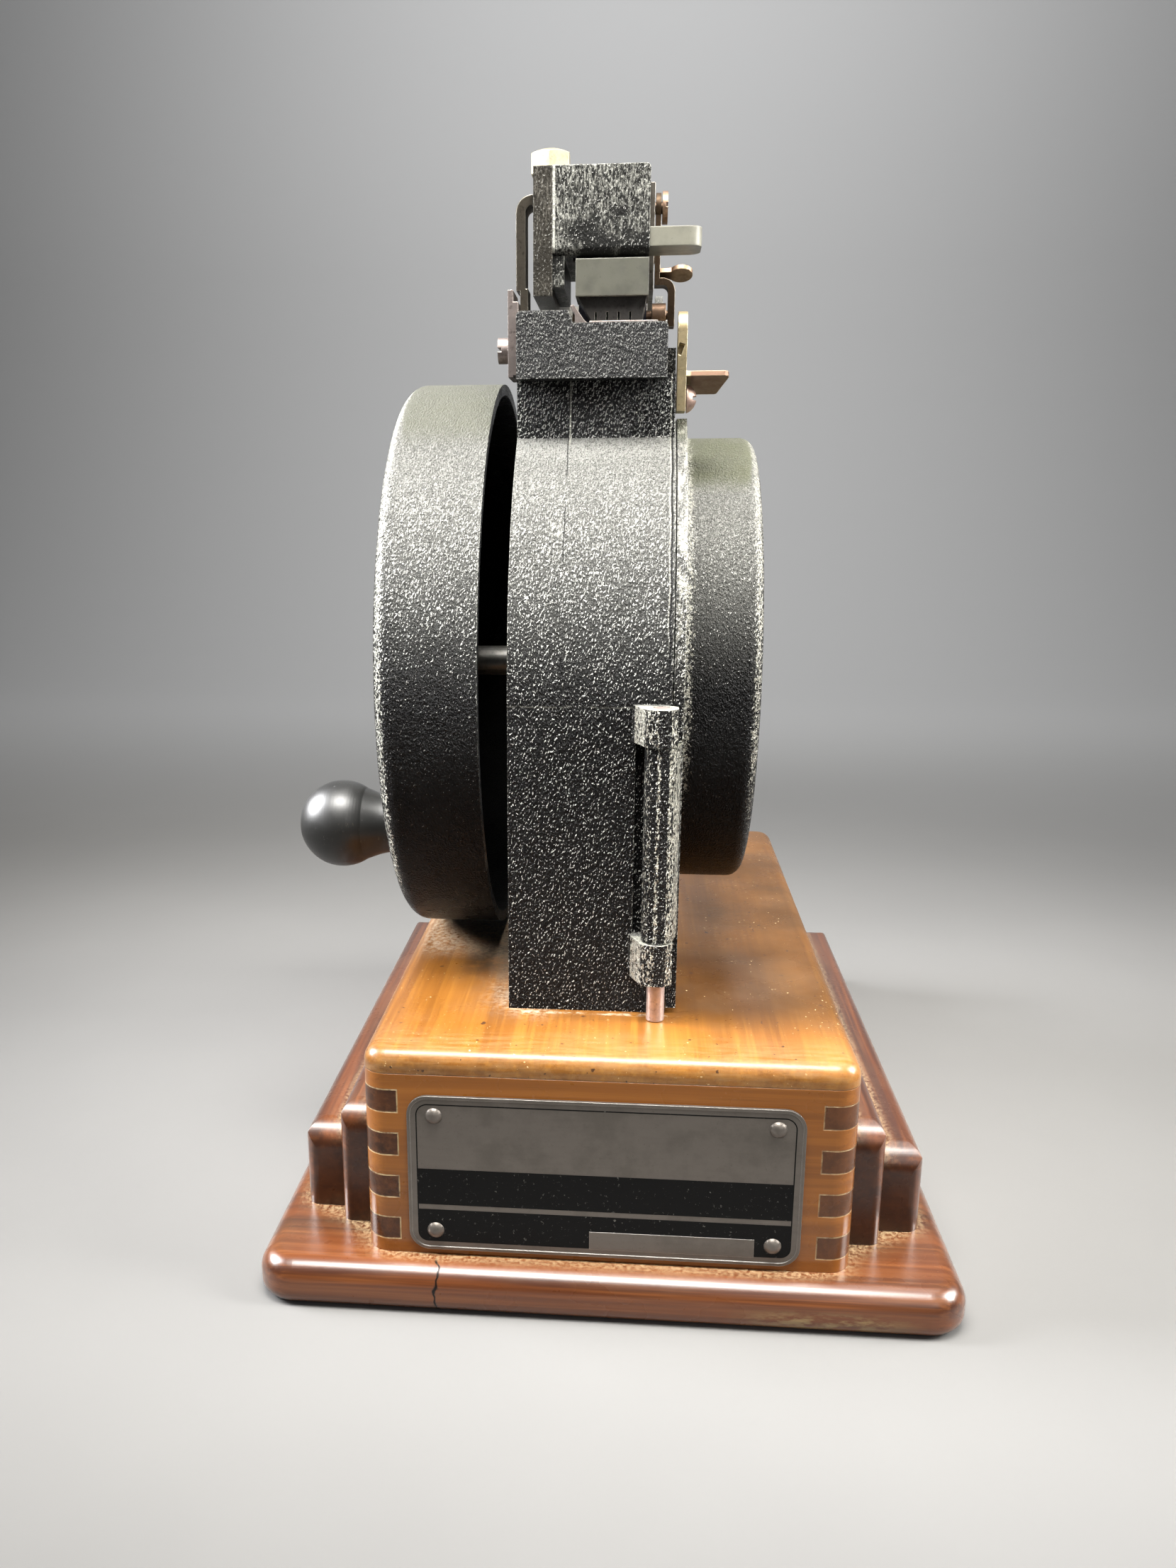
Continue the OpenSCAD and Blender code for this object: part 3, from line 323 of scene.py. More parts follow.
# painted shadow of the crank disc on the lid, left of the case
disc_shadow = ml.mul(ml.below(x, -26, 3), ml.step(x, -47, -38), ml.step(y, -66, -50), ml.below(y, 60, 6),
                ml.step(ml.noise(5, 4, 0.65), 0.30, 0.55), 0.85)
specks = ml.mul(ml.step(ml.noise(2.1, 2, 0.4, loc=(9, 1, 4)), 0.715, 0.74), 0.9)
for mask, colour in (
    (ml.mul(foot, 0.62), (0.10, 0.045, 0.020)), (stain, (0.17, 0.07, 0.022)),
    (shade, (0.088, 0.037, 0.008)), (near, (0.040, 0.018, 0.008)),
    (grit, (0.80, 0.60, 0.32)), (lint, (0.50, 0.43, 0.31)),
    (front_scratches_and_highlight, (0.36, 0.225, 0.105)), (disc_shadow, (0.030, 0.016, 0.009)),
    (specks, (0.05, 0.022, 0.012)),
):
    ml.paint(mask, colour)
finish_wood(ml, 0.6, wear=(0.70, 0.46, 0.22), wear_amount=0.55, dust=0.8,
            dust_color=(0.50, 0.40, 0.28), reach=14, film=0.06,
            zone=ml.below(x, -16, 4), dull=shade)

# Walnut side walls; the right wall is painted lighter, as painted light from the right
mw = wood("walnut_side", (0.030, 0.009, 0.002), (0.085, 0.026, 0.006), (0.15, 0.052, 0.014),
          axis=1, ring=5, coat=0.20, contrast=0.9)
mw.paint(mw.mul(mw.step(mw.xyz()[0], -10, 30), 0.42), (0.135, 0.052, 0.020))
mw.paint(mw.mul(finger_lines(mw), 0.9), GLUE)
finish_wood(mw, 0.35, wear=(0.40, 0.24, 0.12), wear_amount=0.3)


# ---------------------------------------------------------------- paint
def wrinkle(name, size=0.46, edge_r=0.5, worn=0.0, relief=1.0, base=(0.0045, 0.0045, 0.0048),
            gloss=0.22, dust=0.41, glint=0.85, cover=0.0, detail=None, sheen=None,
            bare_color=(0.44, 0.43, 0.39)):
    """Black wrinkle enamel over iron: ridges with painted glints on upper flanks; dust on paint
    facing up.

    detail is a function that gives three masks, or None for one it has no use for: more bare metal,
    some of it painted highlight; dark marks, some of them painted shade; and how much denser the
    painted glints are.
    """
    m = Mat(name, Specular_IOR_Level=0.11)
    x, y, z = m.xyz()
    ridges = {"size": size, "detail": 1.5, "rough": 0.5, "warp": 0.3, "stretch": (1, 0.55, 0.55)}
    n1 = m.noise(**ridges)
    aslant = m.noise(**ridges, loc=(-0.17, -0.14, 0.20))
    n2 = m.noise(size * 0.5, 1.0, 0.5, 0.2, stretch=(1, 0.7, 0.7), loc=(5, 3, 9))
    height = m.add(m.step(n1, 0.40, 0.66), m.mul(m.step(n2, 0.40, 0.62), 0.45))
    bev = m.bevel(edge_r)
    e = m.edge(bev, 0.03, 0.30)
    more, dark, dense = detail(m, x, y, z) if detail else (None, None, None)

    patches = m.lin(m.noise(14, 3), 0.3, 0.7, -0.012, 0.012)
    bias = m.add(m.lin(m.up(), 0.0, 0.60, cover, cover + 0.10), m.mul(e, 0.10), patches)
    if dense is not None:
        bias = m.add(bias, dense)
    # painted highlight: pale flecks on the ridges' upper flanks stand in for glints of light; fewer
    # face down or aside, and fewer on tops
    painted_glints = m.mul(m.step(m.add(m.sub(n1, aslant), bias), 0.110, 0.150),
                  m.lin(m.aside(), 0.5, 1.0, 1.0, 0.4), glint, m.lin(m.up(), -0.6, 0.0, 0.15, 1.0),
                  m.lin(m.up(), 0.10, 0.70, 1.0, 0.20))

    bare = m.mul(e, m.step(m.noise(0.9, 4, 0.75), 0.46, 0.54), 0.35 + 0.65 * worn)
    if worn:
        streak = m.noise(0.42, 3, 0.7, stretch=(1, 1, 0.35))
        lean = m.add(m.lin(z, 257, 273, -0.10, 0.10), m.lin(x, -15, 4, 0.05, -0.04))
        zone = m.lin(m.add(m.noise(6, 3, 0.6), lean), 0.40, 0.58, 0.0, 1.0)
        tops = m.lin(m.up(), 0.6, 0.95, 1.0, 0.35)
        bare = m.most(bare, m.mul(zone, m.step(streak, 0.42, 0.72), worn, tops))
    if more is not None:
        bare = m.most(bare, more)

    grain = m.step(m.noise(size * 0.55, 2.5, 0.65, stretch=(1, 0.7, 0.7)), 0.32, 0.62)
    lift = m.mul(m.step(m.up(), -0.05, 0.68), m.lin(grain, 0, 1, 0.25, 1.0), dust)
    # the flecks' pale colour is painted highlight laid over the black enamel
    m.color = m.mix(painted_glints, base, (0.86, 0.86, 0.81))
    m.paint(lift, (0.46, 0.46, 0.42))
    # painted reflection: a greenish grey laid on the topmost paint, which faces up
    if sheen:
        m.paint(m.mul(m.step(m.up(), 0.74, 0.84),
                      m.lin(m.noise(6, 3), 0.3, 0.7, 0.68, 0.88)), sheen)
    m.paint(bare, bare_color)
    if dark is not None:
        m.paint(dark, (0.003, 0.003, 0.003))
    rough = m.lin(m.noise(12, 3), 0.3, 0.7, gloss, gloss + 0.12)
    m.set(Base_Color=m.color, Metallic=m.mul(bare, 0.5), Normal=m.bump(height, relief, 0.34, bev),
          Roughness=m.math("ADD", rough, m.mul(lift, 0.4), clamp=True))
    return m


def chips(m, amount, size, tall=0.45):
    """Bare chips in the paint: none where amount is 0, nearly all where it is 1."""
    n = m.noise(size, 4, 0.75, stretch=(1, 1, tall))
    return m.step(m.add(n, m.lin(amount, 0.0, 1.0, -0.22, 0.12)), 0.47, 0.53)


def case_marks(m, x, y, z):
    """Rubbed hinge knuckles; seams and scratches of the casting; painted highlights as pale lines
    under a seam and beside the side groove, and denser painted glints near the neck.
    """
    hinge = m.below(y, -84.6, 0.3)
    rub = m.add(m.mul(m.below(x, 7.3, 0.3), 0.74), m.mul(m.band(x, 9.1, 1.8, 0.3), 0.50))
    rub = m.math("ADD", rub, m.mul(m.step(x, 13.3, 13.8), 0.56), clamp=True)
    rub = m.most(rub, m.mul(m.step(m.up(), 0.5, 0.8), 0.82))
    fore = m.mul(m.below(y, -20, 3), m.inv(hinge))

    # Heights and widths that waver a little, so that no seam is ruled
    wav = m.add(z, m.lin(m.noise(9, 3), 0.3, 0.7, -0.3, 0.3))
    wax = m.add(x, m.lin(m.noise(8, 3), 0.3, 0.7, -0.2, 0.2))
    gaps = m.step(m.noise(3.2, 3, 0.6), 0.40, 0.55)
    side = m.mul(m.band(wax, SEAM_X, 0.24, 0.12), m.step(z, 151.5, 153))
    seam = m.mul(m.band(wav, 148.8, 0.26, 0.2), gaps, 0.9)
    corner = m.mul(m.band(wav, 151.9, 0.26, 0.2), m.step(x, 4, 9), m.below(x, SEAM_X, 0.2))
    reach = m.most(m.step(z, 202, 205), m.band(z, 189.5, 7.0, 1.5))
    line = m.mul(m.band(wax, SCRATCH_X, 0.18, 0.1), reach, 0.8)
    tick = m.mul(m.band(x, SCRATCH_X, 0.35, 0.2), m.band(z, 158.4, 2.4, 0.8))
    foot = m.mul(m.band(wav, 79.0, 0.25, 0.2), gaps, 0.8)
    dark = m.most(side, seam, corner, line, foot, tick)

    # painted highlights, laid as bare paint: the lit lip under the seam and a pale line beside the
    # side groove
    lip = m.mul(m.band(wav, 148.2, 0.20, 0.15), gaps, 0.22)
    groove_highlight = m.mul(m.band(wax, 12.6, 0.15, 0.1), m.step(z, 160, 170), 0.6)
    long_cut = m.most(m.mul(m.band(z, 225, 9, 1.2), 0.6), m.band(z, 216.0, 4.0, 1.0))
    neck = m.mul(m.band(wax, -13.2, 0.24, 0.12), long_cut, 0.9)
    flecks = m.step(m.noise(1.0, 3, 0.7, stretch=(1, 1, 0.45)), 0.56, 0.62)
    nick = m.mul(m.band(x, -15.8, 1.4, 0.9), m.band(z, 189.0, 4.0, 1.6), flecks)
    pale = m.most(lip, groove_highlight, neck, nick)

    more = m.most(m.mul(hinge, chips(m, rub, 0.60)), m.mul(pale, fore, 0.75))
    # the last mask makes the painted glints denser near the neck
    return more, m.mul(dark, fore, 0.9), m.mul(m.band(z, 218, 10, 1), m.mul(fore, 0.055))


def door_marks(m, x, y, z):
    """Rubbed strips of the hinge barrel; painted highlights, as bright flecks, on the cover's round
    edges; fewer painted glints in the cover's middle.
    """
    hinge = m.below(y, -84.2, 0.3)
    rub = m.add(m.mul(m.below(x, 9.4, 0.3), 0.42), m.mul(m.band(x, 10.9, 0.6, 0.3), 0.58))
    rub = m.math("ADD", rub, m.mul(m.step(x, 13.1, 13.5), 0.60), clamp=True)
    # painted highlight: bright flecks along the cover's two round edges, where light catches them,
    # and denser painted glints there
    rim_highlights = m.mul(m.most(m.band(x, 18.0, 1.7, 1.3), m.band(x, 36.2, 1.3, 1.1)), m.step(z, 88, 140))
    flecks = m.step(m.noise(2.2, 4, 0.7, stretch=(1, 0.4, 0.4)), 0.45, 0.60)
    leaf = m.mul(m.band(x, 15.7, 1.2, 0.2), flecks, m.step(z, 150, 175), 0.6)
    rest = m.most(m.mul(chips(m, m.mul(rim_highlights, 0.62), 0.7, 0.7), 0.7), leaf)
    more = m.most(m.mul(hinge, chips(m, rub, 0.52, 0.40)), m.mul(m.inv(hinge), rest))
    calm = m.mul(m.band(x, 26.5, 8.5, 1.5), m.inv(m.step(z, 165, 205)), -0.09)
    return more, None, m.add(m.mul(rim_highlights, 0.04), calm)


def disc_marks(m, x, y, z):
    """Painted highlight down the crank disc's left edge, laid as bright flecks; its dark dish; and
    fewer painted glints low on its rim.
    """
    # painted highlight: bright flecks down the disc's left edge stand in for light caught there
    left = m.mul(m.band(x, -59.9, 1.3, 1.0), m.step(z, 78, 100))
    dish = m.mul(m.below(m.from_axle()[2], 79.0, 0.4), m.step(x, -59.0, -58.4), 0.96)
    calm = m.lin(m.add(z, m.lin(m.noise(25, 3), 0.3, 0.7, -12, 12)), 125, 170, -0.10, 0.0)
    calm = m.mul(calm, m.step(x, -61.4, -60.4))
    return m.mul(chips(m, m.mul(left, 0.62), 0.6, 0.7), 0.95), dish, m.add(m.mul(left, 0.06), calm)


def cap_marks(m, x, y, z):
    """Bright left edge of the head block, where the arm meets it, and painted shade along its lower
    edge.
    """
    fore = m.below(y, -50.4, 0.2)
    line = m.mul(m.band(x, -17.7, 0.28, 0.15), fore, m.step(m.noise(2.0, 3, 0.6), 0.30, 0.42))
    # painted shade along the lower edge of the block's front
    low = m.mul(m.below(z, 252.6, 0.4), fore, 0.9)
    return m.mul(line, m.inv(low)), low, None


case = wrinkle("wrinkle_case", detail=case_marks, bare_color=(0.60, 0.59, 0.51))
door = wrinkle("wrinkle_door", detail=door_marks, sheen=(0.130, 0.135, 0.086),
               bare_color=(0.56, 0.55, 0.47))
disc = wrinkle("wrinkle_disc", detail=disc_marks, sheen=(0.135, 0.137, 0.108),
               bare_color=(0.72, 0.72, 0.64))
cap = wrinkle("worn_cap", size=0.42, worn=0.80, edge_r=0.45, relief=0.35,
              base=(0.016, 0.016, 0.015), gloss=0.32, dust=0.22, glint=0.40, detail=cap_marks,
              bare_color=(0.58, 0.58, 0.52))
post = wrinkle("worn_post", size=0.5, worn=0.45, edge_r=0.45, relief=0.30,
               base=(0.030, 0.027, 0.022), gloss=0.34, dust=0.25, glint=0.20,
               bare_color=(0.30, 0.28, 0.24))
plat = wrinkle("wrinkle_platform", size=0.38, cover=0.05, edge_r=0.8, glint=0.30,
               base=(0.026, 0.026, 0.026))


# ---------------------------------------------------------------- metal
def metal(name, color, dirt, rough=0.32, dirt_amount=0.45, edge_r=0.25, polish=None,
          metallic=1.0, tint=None):
    """Old plain metal: tarnish in patches, bright rubbed edges, fine scratches.

    tint is a function that gives a mask and the colour to lay there.
    """
    m = Mat(name)
    bev = m.bevel(edge_r)
    e = m.edge(bev, 0.02, 0.22)
    tar = m.step(m.noise(4.5, 5, 0.7), 0.40, 0.66)
    m.color = m.mix(m.mul(tar, dirt_amount), color, dirt)
    m.paint(m.mul(m.step(m.noise(1.2, 4, 0.75), 0.55, 0.68), dirt_amount),
            tuple(v * 0.6 for v in dirt))
    if tint:
        m.paint(*tint(m))
    m.paint(m.mul(e, 0.65), polish or tuple(min(1.0, v * 1.5) for v in color))
    scratches = m.noise(0.6, 3, 0.6, stretch=(1, 0.15, 1))
    m.set(Base_Color=m.color, Metallic=metallic, Normal=m.bump(scratches, 0.12, 0.06, bev),
          Roughness=m.add(m.lin(tar, 0, 1, rough, rough + 0.16), m.mul(scratches, 0.12)))
    return m


def tab_shade(m):
    """Browner sides and underside of the release lever's thumb tab."""
    return (m.mul(m.step(m.xyz()[0], 17.0, 17.6), m.inv(m.step(m.up(), 0.2, 0.6))),
            (0.20, 0.115, 0.085))


OLD_BRASS = {"color": (0.58, 0.48, 0.29), "dirt": (0.24, 0.17, 0.09), "rough": 0.34,
             "polish": (0.90, 0.82, 0.60)}
steel = metal("old_steel", (0.50, 0.49, 0.46), (0.20, 0.17, 0.13))
dark_steel = metal("dark_steel", (0.16, 0.145, 0.125), (0.055, 0.045, 0.035), 0.38, dirt_amount=0.6,
                   polish=(0.55, 0.52, 0.46))
type_steel = metal("type_metal", (0.060, 0.058, 0.055), (0.02, 0.02, 0.02), 0.42, edge_r=0.12,
                   polish=(0.50, 0.48, 0.42))
brass = metal("old_brass", **OLD_BRASS)
bolt_brass = metal("bright_bolt", (0.46, 0.42, 0.30), (0.22, 0.18, 0.11), 0.40, dirt_amount=0.40,
                   polish=(0.92, 0.88, 0.74))
copper = metal("browned_copper", (0.34, 0.225, 0.155), (0.10, 0.065, 0.045), 0.36,
               polish=(0.66, 0.50, 0.38))
hook = metal("dark_hook", (0.085, 0.058, 0.038), (0.028, 0.021, 0.016), 0.42,
             polish=(0.62, 0.54, 0.42))
bronze = metal("bronze_finger", (0.34, 0.235, 0.16), (0.13, 0.085, 0.055), 0.42,
               polish=(0.62, 0.47, 0.34))
pink = metal("pink_screw", (0.58, 0.42, 0.35), (0.24, 0.15, 0.12), 0.34, polish=(0.80, 0.66, 0.58))
tin = metal("dull_tin", (0.36, 0.31, 0.29), (0.13, 0.10, 0.09), 0.40, dirt_amount=0.6,
            polish=(0.62, 0.56, 0.52))
strap = metal("dark_strap", (0.10, 0.088, 0.070), (0.035, 0.030, 0.024), 0.40, dirt_amount=0.65,
              edge_r=0.4, polish=(0.60, 0.57, 0.49))
pin_metal = metal("hinge_pin_metal", (0.60, 0.49, 0.45), (0.28, 0.20, 0.18), 0.36, dirt_amount=0.40,
                  polish=(0.80, 0.70, 0.64), metallic=0.8)
lever = metal("lever_brass", **OLD_BRASS, tint=tab_shade)
gear_brass = metal("gear_brass", (0.55, 0.42, 0.22), (0.10, 0.08, 0.05), 0.36, dirt_amount=0.6)


# ------------------------------------------------ enamel, knob, nameplate, paper and felt
def putty(name, light, deep):
    """Grey putty enamel of the type holder and its tab."""
    m = Mat(name, Coat_Weight=0.15, Coat_Roughness=0.3)
    bev = m.bevel(0.4)
    e = m.edge(bev, 0.02, 0.25)
    m.color = m.mix(m.step(m.noise(5, 4, 0.6), 0.4, 0.7), light, deep)
    m.paint(m.mul(m.step(m.noise(0.7, 3, 0.7), 0.62, 0.72), 0.5), tuple(v * 0.5 for v in deep))
    m.paint(m.mul(e, m.step(m.noise(1.4, 4, 0.7), 0.35, 0.6), 0.7), (0.42, 0.41, 0.35))
    m.set(Base_Color=m.color, Roughness=m.lin(m.noise(3, 3), 0.3, 0.7, 0.36, 0.52),
          Normal=m.bump(m.noise(0.5, 3, 0.6), 0.14, 0.08, bev))
    return m


def mottled(name, patch, dark, light, rough, grain, strength, depth, **sockets):
    """Matte stuff of two mixed colours; patch and grain are the settings of its two noises."""
    m = Mat(name, **sockets)
    m.set(Base_Color=m.mix(m.noise(*patch), dark, light), Roughness=rough,
          Normal=m.bump(m.noise(*grain), strength, depth))
    return m


# one putty enamel in two copies: the holder's painted darker as shade under the cap, the tab's
# painted lighter as light on it
pu = putty("putty_enamel_painted_shade", (0.110, 0.109, 0.087), (0.084, 0.084, 0.068))
pt = putty("putty_tab_painted_light", (0.235, 0.230, 0.185), (0.185, 0.180, 0.145))

# Turned black knob: gloss above, dulled below, with specks and fine turned scratches
kn = Mat("knob_gloss", Coat_Roughness=0.42, Specular_IOR_Level=0.5)
sp = kn.step(kn.noise(0.9, 3, 0.6), 0.66, 0.73)
scratch = kn.mul(kn.step(kn.noise(0.5, 3, 0.7, stretch=(1, 1, 0.12)), 0.62, 0.70),
                 kn.step(kn.noise(7, 3), 0.50, 0.62), 0.5)
kn.color = kn.mix(kn.mul(sp, 0.6), (0.010, 0.010, 0.009), (0.10, 0.10, 0.10))
kn.paint(scratch, (0.16, 0.145, 0.10))
kn.set(Base_Color=kn.color, Coat_Weight=kn.lin(kn.up(), -0.2, 0.3, 0.08, 1.0),
       Roughness=kn.add(kn.lin(kn.noise(9, 4, 0.65), 0.3, 0.7, 0.34, 0.48), kn.mul(sp, 0.3)),
       Normal=kn.bump(kn.noise(2.5, 4, 0.6), 0.05, 0.10))

# Nameplate: satin aluminium with fine pits, and its black print
pl = Mat("plate_silver", Metallic=0.75)
bev = pl.bevel(0.25)
pl.color = pl.mix(pl.step(pl.noise(9, 5, 0.65), 0.40, 0.68), (0.172, 0.152, 0.134),
                  (0.140, 0.124, 0.108))
pl.paint(pl.mul(pl.step(pl.noise(0.6, 3, 0.7), 0.60, 0.72), 0.45), (0.10, 0.09, 0.07))
pl.paint(pl.mul(pl.edge(bev, 0.02, 0.25), 0.5), (0.62, 0.61, 0.58))
pl.set(Base_Color=pl.color,
       Roughness=pl.lin(pl.noise(1.2, 3, 0.6, stretch=(0.1, 1, 1)), 0.3, 0.7, 0.34, 0.50),
       Normal=pl.bump(pl.noise(0.45, 2), 0.10, 0.05, bev))
ink = Mat("plate_black", Specular_IOR_Level=0.12)
ink.color = ink.mix(ink.step(ink.noise(0.9, 4, 0.7), 0.62, 0.74), (0.005, 0.005, 0.005),
                    (0.16, 0.155, 0.14))
ink.set(Base_Color=ink.color, Roughness=ink.lin(ink.noise(5, 3), 0.3, 0.7, 0.28, 0.42),
        Normal=ink.bump(ink.noise(0.4, 2), 0.06, 0.05))

# Roll of tags: the winding shows on its sides, the cuts between tags on its outside
pa = Mat("tag_paper")
dy, dz, rad = pa.from_axle()
turn = pa.mul(pa.math("SINE", pa.mul(rad, 2 * math.pi / WIND)), pa.below(rad, ROLL_R - 0.4, 0.1))
tags = pa.mul(pa.math("FRACT", pa.mul(pa.math("ARCTAN2", dz, dy), TAGS / (2 * math.pi))),
              TAG_LENGTH)
cut = pa.mul(pa.band(tags, TAG_LENGTH / 2, 0.35, 0.15), pa.step(rad, ROLL_R - 0.3, ROLL_R - 0.1))
pa.color = pa.mix(pa.step(turn, -0.2, 0.9), (0.40, 0.35, 0.26), (0.60, 0.55, 0.44))
pa.paint(pa.mul(pa.step(pa.noise(6, 4), 0.5, 0.7), 0.35), (0.40, 0.33, 0.22))
pa.paint(pa.mul(cut, 0.8), (0.16, 0.13, 0.09))
pa.set(Base_Color=pa.color, Roughness=0.85, Normal=pa.bump(pa.sub(turn, cut), 0.35, 0.12))

ru = mottled("rubber_roll", (2, 3), (0.012, 0.012, 0.012), (0.035, 0.034, 0.032), 0.72,
             (0.5, 3), 0.25, 0.15)
cd = mottled("roll_card", (1.5, 4), (0.30, 0.20, 0.11), (0.44, 0.31, 0.18), 0.85,
             (0.6, 3), 0.2, 0.1)
fe = mottled("ink_felt", (0.6, 4, 0.7), (0.008, 0.008, 0.014), (0.03, 0.03, 0.05), 0.92,
             (0.35, 4, 0.75), 0.6, 0.25, Sheen_Weight=0.3)

LOOK = {
    mb: ["base_board"],
    mr: ["rail_left_inner", "rail_left_outer", "rail_right_inner", "rail_right_outer"],
    mf: ["box_front", "box_back"], ml: ["box_lid"], mw: ["box_side_left", "box_side_right"],
    case: ["main_case"], door: ["roll_door"], disc: ["crank_disc"], plat: ["platform"],
    cap: ["head_block"], post: ["head_arm"], pu: ["type_holder"], pt: ["holder_tab"],
    tin: ["side_plate_screw", "paper_guide", "anvil_plate", "side_plate"], strap: ["side_strap"],
    steel: ["case_screws", "mechanism_plate", "head_pivot_pin", "drive_shaft", "crank_nut",
            "lift_cam", "knob_spindle", "feed_shaft", "lift_rod", "roll_spindle", "roll_flange"],
    dark_steel: ["head_cheek"], type_steel: ["type_slugs"], brass: ["shaft_bush", "index_pin"],
    lever: ["release_lever"], gear_brass: ["drive_gear", "feed_gear"], bolt_brass: ["head_bolt"],
    copper: ["cheek_screw", "ink_pivot", "ink_spindle"], hook: ["ink_arm"], bronze: ["ink_finger"],
    pink: ["lever_screw"], pin_metal: ["hinge_pin"], pl: ["nameplate", "nameplate_pins"],
    kn: ["crank_knob"], ru: ["feed_roller"], pa: ["tag_roll"], cd: ["roll_core"],
    fe: ["ink_roller"],
}
for look, names in LOOK.items():
    for name in names:
        o = NODE[name]
        o.data.materials.clear()
        o.data.materials.append(look.m)


# ------------------------------------------------ print of the nameplate, with no words
CORNER_STEPS, CLIP_STEPS = 8, 6  # facets of a round corner in the border and in a band
SUNK = 0.1  # how far the print reaches into the plate


def on_plate(pts):
    """Points from the plate's middle to the part's X and Z."""
    return [(PLATE_X + a, PLATE_Z + b) for a, b in pts]


def arc(cx, cz, r, start, steps):
    """Points of a quarter turn from start degrees, anticlockwise."""
    angles = [math.radians(start + 90 * i / steps) for i in range(steps + 1)]
    return [(cx + r * math.cos(a), cz + r * math.sin(a)) for a in angles]


def rounded(w, h, r):
    """Outline of a rectangle with round corners, centred on the plate."""
    right, top = w / 2 - r, h / 2 - r
    pts = []
    for cx, cz, start in ((right, top, 0), (-right, top, 90), (-right, -top, 180),
                          (right, -top, 270)):
        pts += arc(cx, cz, r, start, CORNER_STEPS)
    return on_plate(pts)


def clipped(x0, x1, z0, z1, r=0.0, corners=()):
    """Rectangle with some corners round; corners are of tl, tr, bl, br."""
    pts = []
    for key, cx, cz, start in (("tr", x1, z1, 0), ("tl", x0, z1, 90), ("bl", x0, z0, 180),
                               ("br", x1, z0, 270)):
        if key in corners:
            pts += arc(cx + (r if cx == x0 else -r), cz + (r if cz == z0 else -r), r,
                       start, CLIP_STEPS)
        else:
            pts.append((cx, cz))
    return on_plate(pts)


def outline(bm, pts, y):
    """Vertices of an outline in the plane at y; all in millimetres."""
    return [bm.verts.new((px * MM, y * MM, pz * MM)) for px, pz in pts]


def slab(bm, pts, proud):
    """Flat prism that stands proud of the plate."""
    a, b = outline(bm, pts, PLATE_Y - proud), outline(bm, pts, PLATE_Y + SUNK)
    n = len(pts)
    bm.faces.new(a)
    bm.faces.new(b[::-1])
    for i in range(n):
        bm.faces.new((a[i], b[i], b[(i + 1) % n], a[(i + 1) % n]))


def border(bm, outer, inner, proud):
    """Flat frame between two outlines of as many points."""
    n = len(outer)
    vs = [outline(bm, pts, y) for y in (PLATE_Y - proud, PLATE_Y + SUNK) for pts in (outer, inner)]
    for i in range(n):
        j = (i + 1) % n
        bm.faces.new((vs[0][i], vs[0][j], vs[1][j], vs[1][i]))
        bm.faces.new((vs[2][i], vs[3][i], vs[3][j], vs[2][j]))
        bm.faces.new((vs[0][i], vs[2][i], vs[2][j], vs[0][j]))
        bm.faces.new((vs[1][i], vs[1][j], vs[3][j], vs[3][i]))


def made(name, bm, look):
    """The mesh as an object of the scene; bm is used up."""
    me = bpy.data.meshes.new(name)
    bm.to_mesh(me)
    bm.free()
    me.materials.append(look.m)
    o = bpy.data.objects.new(name, me)
    bpy.context.scene.collection.objects.link(o)
    return o


def piece(name, bm, look, body):
    bmesh.ops.recalc_face_normals(bm, faces=bm.faces)
    o = made(name, bm, look)
    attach(o, body)


BAND_X = PLATE_HALF_W - 2.2
FOOT_Z = -PLATE_HALF_H + 2.2
bm = bmesh.new()
slab(bm, clipped(-BAND_X, BAND_X, -8.6, 1.3), 0.04)
slab(bm, clipped(-BAND_X, BAND_X, FOOT_Z, -10.0, 2.6, ("bl", "br")), 0.04)
border(bm, rounded(2 * PLATE_HALF_W - 4.4, 2 * PLATE_HALF_H - 4.4, 3.0),
       rounded(2 * PLATE_HALF_W - 5.0, 2 * PLATE_HALF_H - 5.0, 2.7), 0.03)
piece("nameplate_print", bm, ink, "base")
bm = bmesh.new()
slab(bm, clipped(-PLATE_HALF_W + 45.5, PLATE_HALF_W - 11.2,
                 -PLATE_HALF_H + 2.0, -PLATE_HALF_H + 7.0), 0.07)
piece("nameplate_field", bm, pl, "base")

# ---------------------------------------------------------------- floor, light, camera
FLOOR_HALF_X, FLOOR_FRONT, FLOOR_BACK, BEND, WALL_TOP = 2.2, -1.6, 0.9, 0.5, 2.2  # metres

fl = Mat("pale_floor", Roughness=0.85, Specular_IOR_Level=0.2)
far = fl.step(fl.xyz()[1], 150, 900)
near = fl.mix(fl.noise(60, 3), (0.18, 0.178, 0.174), (0.195, 0.193, 0.188))
fl.set(Base_Color=fl.mix(far, near, (0.44, 0.437, 0.43)))
bm = bmesh.new()
angles = [math.radians(a) for a in range(10, 91, 10)]
bend = [(FLOOR_BACK + BEND * math.sin(a), BEND - BEND * math.cos(a)) for a in angles]
profile = [(FLOOR_FRONT, 0.0), (FLOOR_BACK, 0.0), *bend, (FLOOR_BACK + BEND, WALL_TOP)]
rows = [[bm.verts.new((sx, py, pz)) for py, pz in profile] for sx in (-FLOOR_HALF_X, FLOOR_HALF_X)]
for i in range(len(profile) - 1):
    bm.faces.new((rows[0][i], rows[1][i], rows[1][i + 1], rows[0][i + 1]))
floor = made("floor", bm, fl)
floor.data.shade_smooth()

world = bpy.data.worlds.new("studio")
world.use_nodes = True
background = world.node_tree.nodes["Background"].inputs
background["Color"].default_value = (0.92, 0.95, 1.0, 1)
background["Strength"].default_value = 0.06
bpy.context.scene.world = world
bpy.context.scene.view_settings.view_transform = "Standard"

